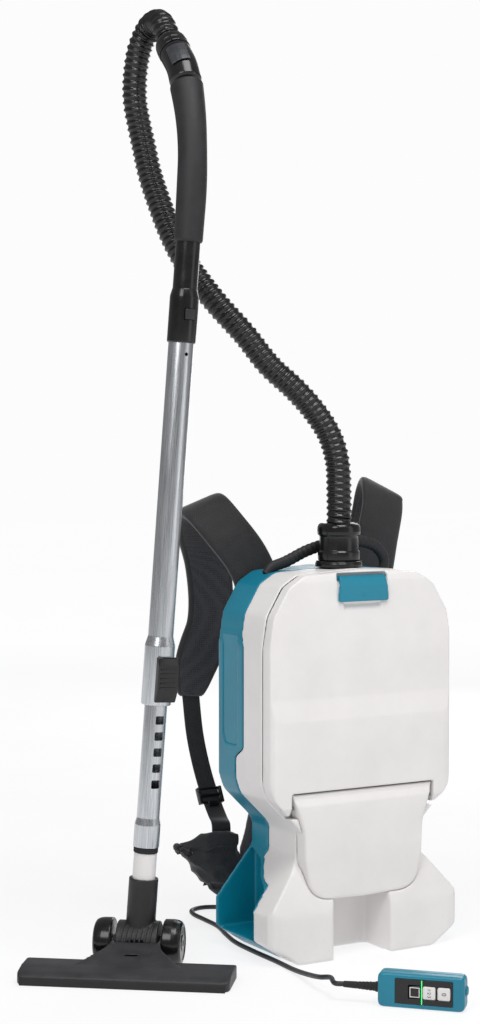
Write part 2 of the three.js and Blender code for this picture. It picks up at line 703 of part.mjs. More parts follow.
// Points of the handle's line between two shares of its length.
const along = (from, to, count) =>
  Array.from({ length: count }, (_, i) =>
    handleCurve.getPointAt(from + ((to - from) * i) / (count - 1)).toArray());
const buttonSeat = (grow) => box(-8 - grow, 8 + grow, -24, -15.5 - grow, 884 - grow, 900 + grow);
const handleBody = cut(
  join(
    ring([[16.9, HANDLE_LOW], [20.5, HANDLE_LOW], [20.5, 918], [17.6, 928], [14, 928], [14, 882],
      [16.9, 879]], 24)
      .subtract(rod([0, 0, 840], [0, 0, 878.3], OUTER_TUBE.radius + GAP, 24)),
    swept(HANDLE_LINE, circle(17.6, 16), 20, circle(14, 16)),
    swept(along(0.836, 0.994, 8), circle(23.4, 20), 8, circle(15, 20)),
  ),
  buttonSeat(GAP),
);
add("handle_body", BLACK, handleBody, wand);
add("handle_grip", SATIN, swept(along(0.19, 0.822, 10), circle(20.8, 16), 12, circle(18.2, 16)), wand);
add(
  "handle_lock_button",
  BLACK,
  box(-7.6, 7.6, -21.6, -17.6, 884.4, 899.6),
  wand,
);
// The suction slider is part of a shell round the handle's thick end, on the side seen from the front.
const sliderShell = swept(along(0.86, 0.985, 6), circle(26.3, 24), 6, circle(24.7, 24));
const sliderSpot = handleCurve.getPointAt(0.9225);
const sliderWay = handleCurve.getTangentAt(0.9225);
const sliderTilt = THREE.MathUtils.radToDeg(Math.atan2(sliderWay.y, sliderWay.z));
const sliderReach = box(-14, 14, -60, -8, -17, 17).rotate([0, 0, -36]).rotate([-sliderTilt, 0, 0]);
add("suction_slider", SATIN, sliderShell.intersect(sliderReach.translate(...sliderSpot.toArray())), wand);

function handleEnd(profile, segments) {
  const end = handleCurve.getPointAt(1);
  const way = handleCurve.getTangentAt(1);
  const tilt = THREE.MathUtils.radToDeg(Math.atan2(way.y, way.z));
  return ring(profile, segments).rotate([-tilt, 0, 0]).translate(...end.toArray());
}
add(
  "hose_end_cuff",
  BLACK,
  handleEnd([[14, GAP], [24, GAP], [24, 19], [22, 24], [14, 24]], 24),
  wand,
);
const hoseLead = [24.4, 34].map((reach) => {
  const point = handleCurve.getPointAt(1).addScaledVector(handleCurve.getTangentAt(1), reach);
  return point.applyMatrix4(wand.matrix).toArray();
});
const HOSE = [...hoseLead, [-232, 113, 1346], [-230, 135, 1356], [-231, 160, 1350], [-236, 178, 1325],
  [-239, 187, 1288], [-237, 192, 1250], [-230, 193, 1216], [-224, 188, 1180], [-219, 180, 1142],
  [-213, 166, 1104], [-204, 145, 1055], [-192, 120, 1009], [-178, 100, 977], [-158, 77, 941],
  [-128, 55, 900], [-97, 37, 855], [-63, 20, 820], [-35, 10, 787], [-14, 2.5, 752], [-3, 0, 715],
  [0, 0, 665], [0, 0, 602]];
cordMeshes.push(add("hose", BLACK, swept(HOSE, circle(HOSE_RADIUS, 12), 34)));

// ---- Neck and nozzle (drawn from the axle, +X along it and +Y to the rear) -------------------------
nozzle.position.copy(NOZZLE_AXLE);
nozzle.rotation.z = NOZZLE_TURN;
const axisInNozzle = WAND_AXIS.clone().applyAxisAngle(new THREE.Vector3(0, 0, 1), -NOZZLE_TURN);
const up = (length) => axisInNozzle.clone().multiplyScalar(length).toArray();
add(
  "neck_elbow",
  BLACK,
  cut(
    join(rod([-30, 0, 0], [30, 0, 0], 30, 28), rod([0, 0, 0], up(92), 21, 24)),
    rod(up(14), up(100), 16.8, 24),
    rod([-40, 0, 0], [40, 0, 0], 4.3, 14),
    box(-12, 12, -40, -6, -12, 8),
  ),
  nozzle,
);
function nozzleBody() {
  const profile = [[-128, -33], [-128, -21, 2], [-118, -16, 4], [-96, -12, 6], [-64, -11, 5], [-53, -15, 3],
    [-53, -33]];
  const corner = 9;
  const plan = [[-NOZZLE_HALF, -53, 3], [-NOZZLE_HALF, -128, corner], [NOZZLE_HALF, -128, corner],
    [NOZZLE_HALF, -53, 3]];
  const shell = prismX(profile, -NOZZLE_HALF, NOZZLE_HALF).intersect(prismZ(plan, -40, 0));
  // The saddle carries the head's top up to the neck's barrel and holds its airway.
  const rise = [[-116, -18], [-84, -10, 10], [-44, 4, 8], [-24, 8], [-24, -30], [-116, -30]];
  const spread = [[-36, -20], [36, -20], [38, -44, 8], [96, -116], [-96, -116], [-38, -44, 8]];
  const saddle = prismX(rise, -100, 100).intersect(prismZ(spread, -40, 20));
  const hollow = box(-140, 140, -121, -60, -40, -22);
  const throat = box(-12, 12, -66, -20, -27, -4);
  const wheelRoom = bothSides((side) => rod([side * 36.3, 0, 0], [side * 66, 0, 0], WHEEL_RADIUS + 1, 32));
  const barrel = rod([-30.3, 0, 0], [30.3, 0, 0], 30.4, 32);
  const armSide = [[0, -11, 2], [-30, -28, 1], [-30, 4, 1], [0, 11, 4], [11, 6, 4], [11, -8, 4]];
  const arm = prismX(armSide, 30.5, 36);
  const axleHole = rod([-50, 0, 0], [50, 0, 0], 4.3, 14);
  return cut(join(shell, saddle, arm, arm.mirror([1, 0, 0])), barrel, wheelRoom, hollow, throat, axleHole);
}
add("nozzle_body", SATIN, nozzleBody(), nozzle);
add("nozzle_bumper", RUBBER, box(-143, 143, -132, -128 - GAP, -33, -22), nozzle);
add("bristle_strip", RUBBER, box(-138, 138, -120.6, -117, -33, -22.3), nozzle);
add("nozzle_axle", STEEL, rod([-62, 0, 0], [62, 0, 0], 4, 12), nozzle);
for (const [name, side] of [["left", -1], ["right", 1]]) {
  const wheel = rod([side * 36.6, 0, 0], [side * 63, 0, 0], WHEEL_RADIUS, 28);
  add(`nozzle_wheel_${name}`, BLACK, wheel.subtract(rod([-70, 0, 0], [70, 0, 0], 4.3, 14)), nozzle);
}

// ---- Origin under the middle of everything but the cords -------------------------------------------
part.updateMatrixWorld(true);
const bounds = new THREE.Box3();
part.traverse((mesh) => {
  if (mesh.isMesh && !cordMeshes.includes(mesh)) bounds.expandByObject(mesh, true);
});
const middle = bounds.getCenter(new THREE.Vector3());
part.position.set(-middle.x, -middle.y, -bounds.min.z);

export default part;
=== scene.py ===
"""A backpack vacuum cleaner with its harness, ribbed hose, telescopic wand, floor nozzle and wired remote.

Sizes in this file are in millimetres in the frame of the piece being made, and `place` turns them into
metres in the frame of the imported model. The pack's own frame has its origin under the hose port.
"""

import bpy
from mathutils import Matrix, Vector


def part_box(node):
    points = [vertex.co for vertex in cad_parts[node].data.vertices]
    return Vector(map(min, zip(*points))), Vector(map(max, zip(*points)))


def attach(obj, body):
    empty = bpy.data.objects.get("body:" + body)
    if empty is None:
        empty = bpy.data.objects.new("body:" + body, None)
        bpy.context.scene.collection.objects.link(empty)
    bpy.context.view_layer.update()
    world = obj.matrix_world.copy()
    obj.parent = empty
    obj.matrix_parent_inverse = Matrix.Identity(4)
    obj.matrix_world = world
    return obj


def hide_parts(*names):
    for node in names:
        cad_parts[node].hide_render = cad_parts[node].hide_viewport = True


bl_info = {
    "name": "Backpack vacuum cleaner",
    "version": (1, 0, 0),
    "blender": (4, 5, 0),
    "location": "3D View > Sidebar > Vacuum",
    "description": "Shells, harness, hose, wand, nozzle and remote of a backpack vacuum cleaner",
    "category": "Object",
}

import math

import bmesh
import bpy
import numpy as np
from mathutils import Matrix, Vector, noise

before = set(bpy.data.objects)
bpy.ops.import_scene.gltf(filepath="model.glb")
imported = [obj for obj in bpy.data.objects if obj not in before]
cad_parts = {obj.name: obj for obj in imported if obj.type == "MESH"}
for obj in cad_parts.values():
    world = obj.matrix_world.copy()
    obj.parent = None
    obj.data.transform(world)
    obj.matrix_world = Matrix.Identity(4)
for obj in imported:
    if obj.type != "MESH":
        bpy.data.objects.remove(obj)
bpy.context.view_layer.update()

# ---- Frames of the pack, the wand, the nozzle and the remote -----------------------------------------


def middle(node):
    low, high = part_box(node)
    return (low + high) / 2


def placed(origin, x, y, z):
    """Matrix from a piece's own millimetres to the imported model's metres."""
    columns = [Vector(v).normalized() * 0.001 for v in (x, y, z)]
    return Matrix([[*(c[i] for c in columns), origin[i]] for i in range(3)] + [[0, 0, 0, 1]])


PORT = middle("inlet_port")
PACK = placed((PORT.x, PORT.y, 0), (1, 0, 0), (0, 1, 0), (0, 0, 1))
AXLE = middle("nozzle_axle")
WAND_AXIS = Vector((0.0616, -0.0356, 1)).normalized()
WAND_BACK = (Vector((0, 1, 0)) - WAND_AXIS * WAND_AXIS.y).normalized()
WAND = placed(AXLE, WAND_BACK.cross(WAND_AXIS), WAND_BACK, WAND_AXIS)
NOZZLE_TURN = math.radians(-38)
ALONG_AXLE = Vector((math.cos(NOZZLE_TURN), math.sin(NOZZLE_TURN), 0))
NOZZLE = placed(AXLE, ALONG_AXLE, Vector((0, 0, 1)).cross(ALONG_AXLE), (0, 0, 1))
REMOTE_TURN = math.atan2(-0.72, 0.693)
ALONG_REMOTE = Vector((math.cos(REMOTE_TURN), math.sin(REMOTE_TURN), 0))
REMOTE_SPOT = PACK @ Vector((-83, -333, 0.3))
REMOTE = placed(REMOTE_SPOT, ALONG_REMOTE, Vector((0, 0, 1)).cross(ALONG_REMOTE), (0, 0, 1))

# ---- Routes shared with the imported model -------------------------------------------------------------
HANDLE_LINE = [(0, 0, 924), (0, 0, 1000), (0, 1, 1070), (0, 6, 1120), (0, 17, 1166), (0, 33, 1206),
               (0, 53, 1243), (0, 80, 1269)]
HOSE_LINE = [(-232, 113, 1346), (-230, 135, 1356), (-231, 160, 1350), (-236, 178, 1325), (-239, 187, 1288),
             (-237, 192, 1250), (-230, 193, 1216), (-224, 188, 1180), (-219, 180, 1142), (-213, 166, 1104),
             (-204, 145, 1055), (-192, 120, 1009), (-178, 100, 977), (-158, 77, 941), (-128, 55, 900),
             (-97, 37, 855), (-63, 20, 820), (-35, 10, 787), (-14, 2.5, 752), (-3, 0, 715), (0, 0, 665),
             (0, 0, 602)]
LEAD_LINE = [(-45, 96.5, 50), (-45, 108, 50), (-45, 128, 40), (-43, 154, 20), (-41, 190, 6),
             (-41, 225, 3.8), (-41, 255, 3.8), (-50.4, 277.6, 3.8), (-73, 287, 3.8), (-95.6, 277.6, 3.8),
             (-105, 255, 3.8), (-107, 220, 3.8), (-110, 170, 3.8), (-124, 118, 3.8), (-135, 70, 3.8),
             (-138, 10, 3.8), (-138, -50, 3.8), (-142, -105, 5), (-150, -155, 11), (-158, -200, 19),
             (-157, -224, 24)]
CARRY_LINE = [(-100, 40, 549), (-92, 40, 559), (-66, 40, 568), (-30, 40, 583), (12, 40, 593),
              (60, 40, 595), (94, 40, 584), (107, 40, 564), (104, 40, 546)]
STRAP_LINES = {
    "left": [(-87, 90.6, 497), (-87, 92, 535), (-100, 98, 570), (-128, 112, 612), (-146, 140, 645),
             (-140, 178, 646), (-118, 212, 612), (-92, 234, 560), (-81, 242, 500), (-84, 243, 457),
             (-97, 242, 425), (-110, 240, 394), (-119, 236, 362), (-120, 235.8, 350)],
    "right": [(112, 90.6, 497), (112, 91, 520), (122, 93, 552), (134, 97, 600), (147, 103, 645),
              (152, 112, 664), (160, 128, 668), (166, 145, 655), (168, 160, 620), (160, 180, 560),
              (145, 205, 480), (128, 226, 400), (116, 236, 350)],
}
WEBBING_LINES = {
    "left": [(-120, 235.6, 347.9), (-118, 226, 290), (-113, 210, 235), (-108, 190, 192),
             (-110, 168, 172), (-114, 152, 165)],
    "right": [(116, 235.4, 346.9), (114, 226, 290), (111, 210, 235), (107, 190, 192), (104, 168, 172),
              (103, 152, 165)],
}

# ---- Shapes ------------------------------------------------------------------------------------------


def curve_points(line, count):
    """Points an equal distance apart on the smooth centripetal curve through `line`."""
    points = np.array(line, float)
    points = np.vstack([2 * points[0] - points[1], points, 2 * points[-1] - points[-2]])
    fine = []
    for i in range(1, len(points) - 2):
        p0, p1, p2, p3 = points[i - 1 : i + 3]
        d0, d1, d2 = (max(np.linalg.norm(b - a) ** 0.5, 1e-4) for a, b in ((p0, p1), (p1, p2), (p2, p3)))
        t1 = ((p1 - p0) / d0 - (p2 - p0) / (d0 + d1) + (p2 - p1) / d1) * d1
        t2 = ((p2 - p1) / d1 - (p3 - p1) / (d1 + d2) + (p3 - p2) / d2) * d1
        s = np.linspace(0, 1, 40, endpoint=False)[:, None]
        fine.append(p1 + t1 * s + (3 * (p2 - p1) - 2 * t1 - t2) * s**2 + (2 * (p1 - p2) + t1 + t2) * s**3)
    fine = np.vstack([*fine, points[-2:-1]])
    run = np.concatenate([[0], np.cumsum(np.linalg.norm(np.diff(fine, axis=0), axis=1))])
    wanted = np.linspace(0, run[-1], count)
    return np.stack([np.interp(wanted, run, fine[:, k]) for k in range(3)], axis=1)


def length_of(line):
    """Length of the smooth curve through `line`."""
    return float(np.linalg.norm(np.diff(curve_points(line, 800), axis=0), axis=1).sum())


def frames_along(points, side):
    """Tangents and two cross directions carried along a line without twisting; `side` starts the first."""
    ways = np.gradient(points, axis=0)
    ways /= np.linalg.norm(ways, axis=1)[:, None]
    across = np.zeros_like(points)
    last = np.array(side, float)
    for i, way in enumerate(ways):
        last = last - way * last.dot(way)
        last /= np.linalg.norm(last)
        across[i] = last
    return ways, across, np.cross(ways, across)


def piece(name, points, faces, place=PACK, uvs=None, sharp=40):
    """A mesh object at the origin with its place in its mesh, smooth but for edges over `sharp` degrees."""
    points = np.asarray(points, float)
    turned = points @ np.array(place.to_3x3()).T + np.array(place.translation)
    mesh = bpy.data.meshes.new(name)
    mesh.from_pydata(turned.tolist(), [], faces)
    if uvs is not None:
        layer = mesh.uv_layers.new(name="cloth")
        layer.data.foreach_set("uv", np.asarray(uvs, np.float32).ravel())
    made = bpy.data.objects.new(name, mesh)
    bpy.context.scene.collection.objects.link(made)
    tidy(made, sharp)
    return made


def tidy(made, sharp=40, recalculate=True):
    """Merges doubles, points faces outwards and sets which edges stay crisp."""
    work = bmesh.new()
    work.from_mesh(made.data)
    bmesh.ops.remove_doubles(work, verts=work.verts, dist=1e-7)
    bmesh.ops.dissolve_degenerate(work, edges=work.edges, dist=1e-7)
    if recalculate:
        bmesh.ops.recalc_face_normals(work, faces=work.faces)
    work.to_mesh(made.data)
    work.free()
    made.data.shade_smooth()
    made.data.set_sharp_from_angle(angle=math.radians(sharp))
    return made


def loft(name, rows, place=PACK, caps=True, runs=None, sharp=40):
    """A skin over rows of points, each row a closed section; the UV map holds metres around and along."""
    rows = np.asarray(rows, float)
    count, around = rows.shape[:2]
    ring = np.concatenate([rows, rows[:, :1]], axis=1)
    u = np.concatenate([[0], np.cumsum(np.linalg.norm(np.diff(ring, axis=1), axis=2).mean(0))]) * 0.001
    centre = rows.mean(1)
    v = np.concatenate([[0], np.cumsum(np.linalg.norm(np.diff(centre, axis=0), axis=1))]) * 0.001
    if runs is not None:
        v = np.asarray(runs) * 0.001
    faces, uvs = [], []
    for i in range(count - 1):
        for j in range(around):
            k = (j + 1) % around
            faces.append((i * around + j, i * around + k, (i + 1) * around + k, (i + 1) * around + j))
            uvs += [(u[j], v[i]), (u[j + 1], v[i]), (u[j + 1], v[i + 1]), (u[j], v[i + 1])]
    if caps:
        for i in (0, count - 1):
            loop = [i * around + j for j in range(around)]
            faces.append(tuple(loop))
            uvs += [(u[j], v[i]) for j in range(around)]
    return piece(name, rows.reshape(-1, 3), faces, place, uvs, sharp)


def swept(name, line, section, steps, place=PACK, side=(1, 0, 0), size=None, sharp=40, ends=0.0):
    """A bar of `section` along the smooth curve through `line`. `size(t)` scales the section's two
    directions, and `ends` rounds its ends over that many millimetres."""
    points = curve_points(line, steps)
    ways, across, up = frames_along(points, side)
    run = np.linspace(0, length_of(line), steps)
    rows = []
    for i in range(steps):
        a, b = size(i / (steps - 1)) if size else (1, 1)
        if ends:
            left = min(run[i], run[-1] - run[i])
            shrink = math.sqrt(max(0.04, 1 - (1 - min(left / ends, 1)) ** 2))
            a, b = a * (0.85 + 0.15 * shrink), b * shrink
        shape = np.asarray(section(i / (steps - 1)) if callable(section) else section, float)
        rows.append(points[i] + shape[:, :1] * a * across[i] + shape[:, 1:] * b * up[i])
    return loft(name, rows, place, runs=run, sharp=sharp)


def round_section(radius, sides=32, squash=1.0):
    angles = np.linspace(0, 2 * math.pi, sides, endpoint=False)
    return np.stack([radius * np.cos(angles), squash * radius * np.sin(angles)], axis=1)


def pad_section(width, thick, square=5.0, sides=48):
    """A strap's section: flat faces and full, rounded edges."""
    angles = np.linspace(0, 2 * math.pi, sides, endpoint=False)
    c, s = np.cos(angles), np.sin(angles)
    return np.stack([width / 2 * np.sign(c) * np.abs(c) ** (1 / square * 2),
                     thick / 2 * np.sign(s) * np.abs(s) ** 0.7], axis=1)


def eased(profile, radius, closed=True):
    """A profile with its corners rounded, three segments each."""
    points = [np.array(p, float) for p in profile]
    out = []
    for i, here in enumerate(points):
        if not closed and i in (0, len(points) - 1):
            out.append(here)
            continue
        before, after = points[i - 1], points[(i + 1) % len(points)]
        lead, trail = before - here, after - here
        reach = min(radius, 0.42 * np.linalg.norm(lead), 0.42 * np.linalg.norm(trail))
        start = here + lead / np.linalg.norm(lead) * reach
        end = here + trail / np.linalg.norm(trail) * reach
        for t in (0, 0.33, 0.67, 1):
            out.append((1 - t) ** 2 * start + 2 * t * (1 - t) * here + t**2 * end)
    return np.array(out)


def turned(name, profile, place=PACK, sides=72, radius=0.7, sharp=50):
    """A ring turned about the local Z from a closed profile of (radius, height)."""
    shape = eased(profile, radius)
    angles = np.linspace(0, 2 * math.pi, sides, endpoint=False)
    rows = [np.stack([shape[:, 0] * math.cos(a), shape[:, 0] * math.sin(a), shape[:, 1]], 1) for a in angles]
    points = np.concatenate(rows)
    n = len(shape)
    faces = [(i * n + j, i * n + (j + 1) % n, (i + 1) % sides * n + (j + 1) % n, (i + 1) % sides * n + j)
             for i in range(sides) for j in range(n)]
    return piece(name, points, faces, place, sharp=sharp)


def block(name, low, high, place=PACK, edge=1.0, segments=3):
    """A box with rounded edges."""
    work = bmesh.new()
    bmesh.ops.create_cube(work, size=1)
    for v in work.verts:
        v.co = Vector([low[k] if v.co[k] < 0 else high[k] for k in range(3)])
    bmesh.ops.bevel(work, geom=work.edges, offset=edge, segments=segments, profile=0.5, affect="EDGES")
    work.verts.ensure_lookup_table()
    points = [v.co[:] for v in work.verts]
    faces = [tuple(v.index for v in f.verts) for f in work.faces]
    work.free()
    return piece(name, points, faces, place, sharp=60)


def prism(name, outline, depth, place=PACK, edge=1.0, corner=0.0):
    """An outline in the local XY plane drawn up by `depth` = (from, to), with rounded edges."""
    shape = eased(outline, corner) if corner else np.array(outline, float)
    work = bmesh.new()
    low = [work.verts.new((x, y, depth[0])) for x, y in shape]
    high = [work.verts.new((x, y, depth[1])) for x, y in shape]
    work.faces.new(low[::-1])
    work.faces.new(high)
    for i in range(len(low)):
        k = (i + 1) % len(low)
        work.faces.new((low[i], low[k], high[k], high[i]))
    if edge:
        rims = [e for e in work.edges if abs(e.verts[0].co.z - e.verts[1].co.z) < 1e-6]
        bmesh.ops.bevel(work, geom=rims, offset=edge, segments=3, profile=0.5, affect="EDGES")
    work.verts.index_update()
    points = [v.co[:] for v in work.verts]
    faces = [tuple(v.index for v in f.verts) for f in work.faces]
    work.free()
    return piece(name, points, faces, place, sharp=50)


def settled(made):
    """Applies what the modifiers make of a piece, and takes them off."""
    graph = bpy.context.evaluated_depsgraph_get()
    graph.update()
    mesh = bpy.data.meshes.new_from_object(made.evaluated_get(graph), depsgraph=graph)
    made.modifiers.clear()
    made.data = mesh
    return made


def joined(name, parts):
    """Several pieces as one mesh object."""
    work = bmesh.new()
    for part in parts:
        work.from_mesh(part.data)
    mesh = bpy.data.meshes.new(name)
    for part in parts:
        for material in part.data.materials:
            if material.name not in mesh.materials:
                mesh.materials.append(material)
    work.to_mesh(mesh)
    work.free()
    for part in parts:
        bpy.data.objects.remove(part)
    made = bpy.data.objects.new(name, mesh)
    bpy.context.scene.collection.objects.link(made)
    mesh.shade_smooth()
    mesh.set_sharp_from_angle(angle=math.radians(50))
    return made


def cut_from(made, cutters):
    """Takes the cutters' shapes out of a piece."""
    for cutter in cutters:
        mod = made.modifiers.new("cut", "BOOLEAN")
        mod.operation, mod.solver, mod.object = "DIFFERENCE", "EXACT", cutter
        settled(made)
        bpy.data.objects.remove(cutter)
    return tidy(made, 40, recalculate=False)


def copied(name, *nodes):
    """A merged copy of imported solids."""
    work = bmesh.new()
    for node in nodes:
        work.from_mesh(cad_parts[node].data)
    bmesh.ops.remove_doubles(work, verts=work.verts, dist=1e-6)
    mesh = bpy.data.meshes.new(name)
    work.to_mesh(mesh)
    work.free()
    made = bpy.data.objects.new(name, mesh)
    bpy.context.scene.collection.objects.link(made)
    return made


def moulded(name, nodes, grain, rounds=3, keep=None, body="pack", finish=None, shape=None):
    """A moulded shell with soft edges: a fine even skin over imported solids, smoothed so that every edge
    gets the small radius that a mould leaves. `grain` is the skin's facet size and `keep` thins it."""
    made = copied(name, *nodes)
    skin = made.modifiers.new("skin", "REMESH")
    skin.mode, skin.voxel_size, skin.adaptivity = "VOXEL", grain * 0.001, 0
    settled(made)
    ease = made.modifiers.new("ease", "SMOOTH")
    ease.factor, ease.iterations = 0.5, rounds
    settled(made)
    if shape:
        co = np.zeros(len(made.data.vertices) * 3)
        made.data.vertices.foreach_get("co", co)
        co = (co.reshape(-1, 3) - np.array(PACK.translation)) * 1000
        co = shape(co) * 0.001 + np.array(PACK.translation)
        made.data.vertices.foreach_set("co", co.ravel())
    if keep:
        thin = made.modifiers.new("thin", "DECIMATE")
        thin.ratio = min(1.0, keep / max(1, 2 * len(made.data.polygons)))
        settled(made)
    made.data.shade_smooth()
    made.data.materials.clear()
    made.data.materials.append(finish)
    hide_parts(*nodes)
    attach(made, body)
    return made


def finish_piece(made, body, finish, nodes=()):
    """Gives a piece its finish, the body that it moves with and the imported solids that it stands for."""
    if finish is not None:
        made.data.materials.clear()
        made.data.materials.append(finish)
    if nodes:
        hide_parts(*nodes)
    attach(made, body)
    return made

# ---- Geometry Nodes ----------------------------------------------------------------------------------


def add(tree, kind, inputs=None, **settings):
    """Adds a node with its settings; an input is a value or another node's output."""
    made = tree.nodes.new(kind)
    for key, value in settings.items():
        setattr(made, key, value)
    for key, value in (inputs or {}).items():
        socket = made.inputs[key]
        if isinstance(value, bpy.types.NodeSocket):
            tree.links.new(value, socket)
        else:
            socket.default_value = value
    return made


def new_geometry_tree(name, sockets):
    """A geometry tree with named inputs, and its input node."""
    tree = bpy.data.node_groups.new(name, "GeometryNodeTree")
    tree.interface.new_socket("Geometry", in_out="INPUT", socket_type="NodeSocketGeometry")
    for title, kind, default in sockets:
        socket = tree.interface.new_socket(title, in_out="INPUT", socket_type=kind)
        if default is not None:
            socket.default_value = default
    tree.interface.new_socket("Geometry", in_out="OUTPUT", socket_type="NodeSocketGeometry")
    return tree, tree.nodes.new("NodeGroupInput")


def grown(made, tree, values):
    """Runs a geometry tree on an object and keeps the mesh that it makes."""
    mod = made.modifiers.new(tree.name, "NODES")
    mod.node_group = tree
    names = {item.name: item.identifier for item in tree.interface.items_tree if item.in_out == "INPUT"}
    for title, value in values.items():
        mod[names[title]] = value
    return settled(made)


def repeat_tree():
    """One small shape set on every point, turned as the point says, and made real."""
    if "Repeated piece" in bpy.data.node_groups:
        return bpy.data.node_groups["Repeated piece"]
    tree, given = new_geometry_tree("Repeated piece", [
        ("Shape", "NodeSocketObject", None), ("Size", "NodeSocketFloat", 1.0),
        ("Finish", "NodeSocketMaterial", None)])
    shape = add(tree, "GeometryNodeObjectInfo", {"Object": given.outputs["Shape"]})
    turn = add(tree, "GeometryNodeInputNamedAttribute", {"Name": "turn"}, data_type="FLOAT_VECTOR")
    rotation = add(tree, "FunctionNodeEulerToRotation", {"Euler": turn.outputs["Attribute"]})
    copies = add(tree, "GeometryNodeInstanceOnPoints", {
        "Points": given.outputs["Geometry"], "Instance": shape.outputs["Geometry"],
        "Rotation": rotation.outputs["Rotation"], "Scale": given.outputs["Size"]})
    real = add(tree, "GeometryNodeRealizeInstances", {"Geometry": copies.outputs["Instances"]})
    dressed = add(tree, "GeometryNodeSetMaterial", {
        "Geometry": real.outputs["Geometry"], "Material": given.outputs["Finish"]})
    add(tree, "NodeGroupOutput", {"Geometry": dressed.outputs["Geometry"]})
    return tree


def repeated(name, spots, shape, finish, place=PACK):
    """Copies of `shape` (metres, drawn up its own Z) at spots of (point, outward, along) in `place`."""
    points, turns = [], []
    rotate = place.to_3x3() * 1000
    for point, outward, along in spots:
        z = (rotate @ Vector(outward)).normalized()
        x = rotate @ Vector(along)
        x = (x - z * x.dot(z)).normalized()
        matrix = Matrix((x, z.cross(x), z)).transposed()
        points.append(place @ Vector(point))
        turns.append(matrix.to_euler("XYZ"))
    mesh = bpy.data.meshes.new(name)
    mesh.from_pydata([p[:] for p in points], [], [])
    attribute = mesh.attributes.new("turn", "FLOAT_VECTOR", "POINT")
    attribute.data.foreach_set("vector", np.array([t[:] for t in turns], np.float32).ravel())
    made = bpy.data.objects.new(name, mesh)
    bpy.context.scene.collection.objects.link(made)
    grown(made, repeat_tree(), {"Shape": shape, "Size": 1.0, "Finish": finish})
    bpy.data.objects.remove(shape)
    made.data.shade_smooth()
    made.data.set_sharp_from_angle(angle=math.radians(40))
    return made


def ribbed_hose_tree():
    """A hose wall drawn along a line, with one spiral ridge wound round it."""
    tree, given = new_geometry_tree("Ribbed hose", [
        ("Radius", "NodeSocketFloat", 0.019), ("Ridge height", "NodeSocketFloat", 0.002),
        ("Pitch", "NodeSocketFloat", 0.0095), ("Finish", "NodeSocketMaterial", None)])
    step = add(tree, "ShaderNodeMath", {0: given.outputs["Pitch"], 1: 8.0}, operation="DIVIDE")
    line = add(tree, "GeometryNodeResampleCurve", {
        "Curve": given.outputs["Geometry"], "Length": step.outputs[0]}, mode="LENGTH")
    along = add(tree, "GeometryNodeSplineParameter")
    kept = add(tree, "GeometryNodeStoreNamedAttribute", {
        "Geometry": line.outputs["Curve"], "Name": "along", "Value": along.outputs["Length"]},
        data_type="FLOAT", domain="POINT")
    ring = add(tree, "GeometryNodeCurvePrimitiveCircle", {
        "Resolution": 44, "Radius": given.outputs["Radius"]}, mode="RADIUS")
    around = add(tree, "GeometryNodeSplineParameter")
    marked = add(tree, "GeometryNodeStoreNamedAttribute", {
        "Geometry": ring.outputs["Curve"], "Name": "around", "Value": around.outputs["Factor"]},
        data_type="FLOAT", domain="POINT")
    wall = add(tree, "GeometryNodeCurveToMesh", {
        "Curve": kept.outputs["Geometry"], "Profile Curve": marked.outputs["Geometry"], "Fill Caps": True})
    run = add(tree, "GeometryNodeInputNamedAttribute", {"Name": "along"}, data_type="FLOAT")
    share = add(tree, "GeometryNodeInputNamedAttribute", {"Name": "around"}, data_type="FLOAT")
    turns = add(tree, "ShaderNodeMath", {
        0: run.outputs["Attribute"], 1: given.outputs["Pitch"]}, operation="DIVIDE")
    phase = add(tree, "ShaderNodeMath", {0: turns.outputs[0], 1: share.outputs["Attribute"]}, operation="ADD")
    angle = add(tree, "ShaderNodeMath", {0: phase.outputs[0], 1: 2 * math.pi}, operation="MULTIPLY")
    wave = add(tree, "ShaderNodeMath", {0: angle.outputs[0]}, operation="COSINE")
    half = add(tree, "ShaderNodeMath", {0: wave.outputs[0], 1: 0.5, 2: 0.5}, operation="MULTIPLY_ADD")
    ridge = add(tree, "ShaderNodeMath", {0: half.outputs[0], 1: 1.6}, operation="POWER")
    sunk = add(tree, "ShaderNodeMath", {0: ridge.outputs[0], 1: 1.0}, operation="SUBTRACT")
    depth = add(tree, "ShaderNodeMath", {
        0: sunk.outputs[0], 1: given.outputs["Ridge height"]}, operation="MULTIPLY")
    normal = add(tree, "GeometryNodeInputNormal")
    inward = add(tree, "ShaderNodeVectorMath", {
        0: normal.outputs["Normal"], "Scale": depth.outputs[0]}, operation="SCALE")
    shaped = add(tree, "GeometryNodeSetPosition", {
        "Geometry": wall.outputs["Mesh"], "Offset": inward.outputs["Vector"]})
    smooth = add(tree, "GeometryNodeSetShadeSmooth", {"Geometry": shaped.outputs["Geometry"]})
    real = add(tree, "GeometryNodeRealizeInstances", {"Geometry": smooth.outputs["Geometry"]})
    dressed = add(tree, "GeometryNodeSetMaterial", {
        "Geometry": real.outputs["Geometry"], "Material": given.outputs["Finish"]})
    add(tree, "NodeGroupOutput", {"Geometry": dressed.outputs["Geometry"]})
    return tree


# ---- Finishes ----------------------------------------------------------------------------------------


def tint(code):
    """An sRGB hex colour as linear RGBA."""
    parts = [int(code[i : i + 2], 16) / 255 for i in (1, 3, 5)]
    return (*(c / 12.92 if c <= 0.04045 else ((c + 0.055) / 1.055) ** 2.4 for c in parts), 1.0)


def new_finish(name, **sockets):
    """A material with a Principled shader whose constants are set on its own sockets."""
    made = bpy.data.materials.new(name)
    made.use_nodes = True
    shader = made.node_tree.nodes["Principled BSDF"]
    for title, value in sockets.items():
        shader.inputs[title.replace("_", " ")].default_value = value
    return made, made.node_tree, shader


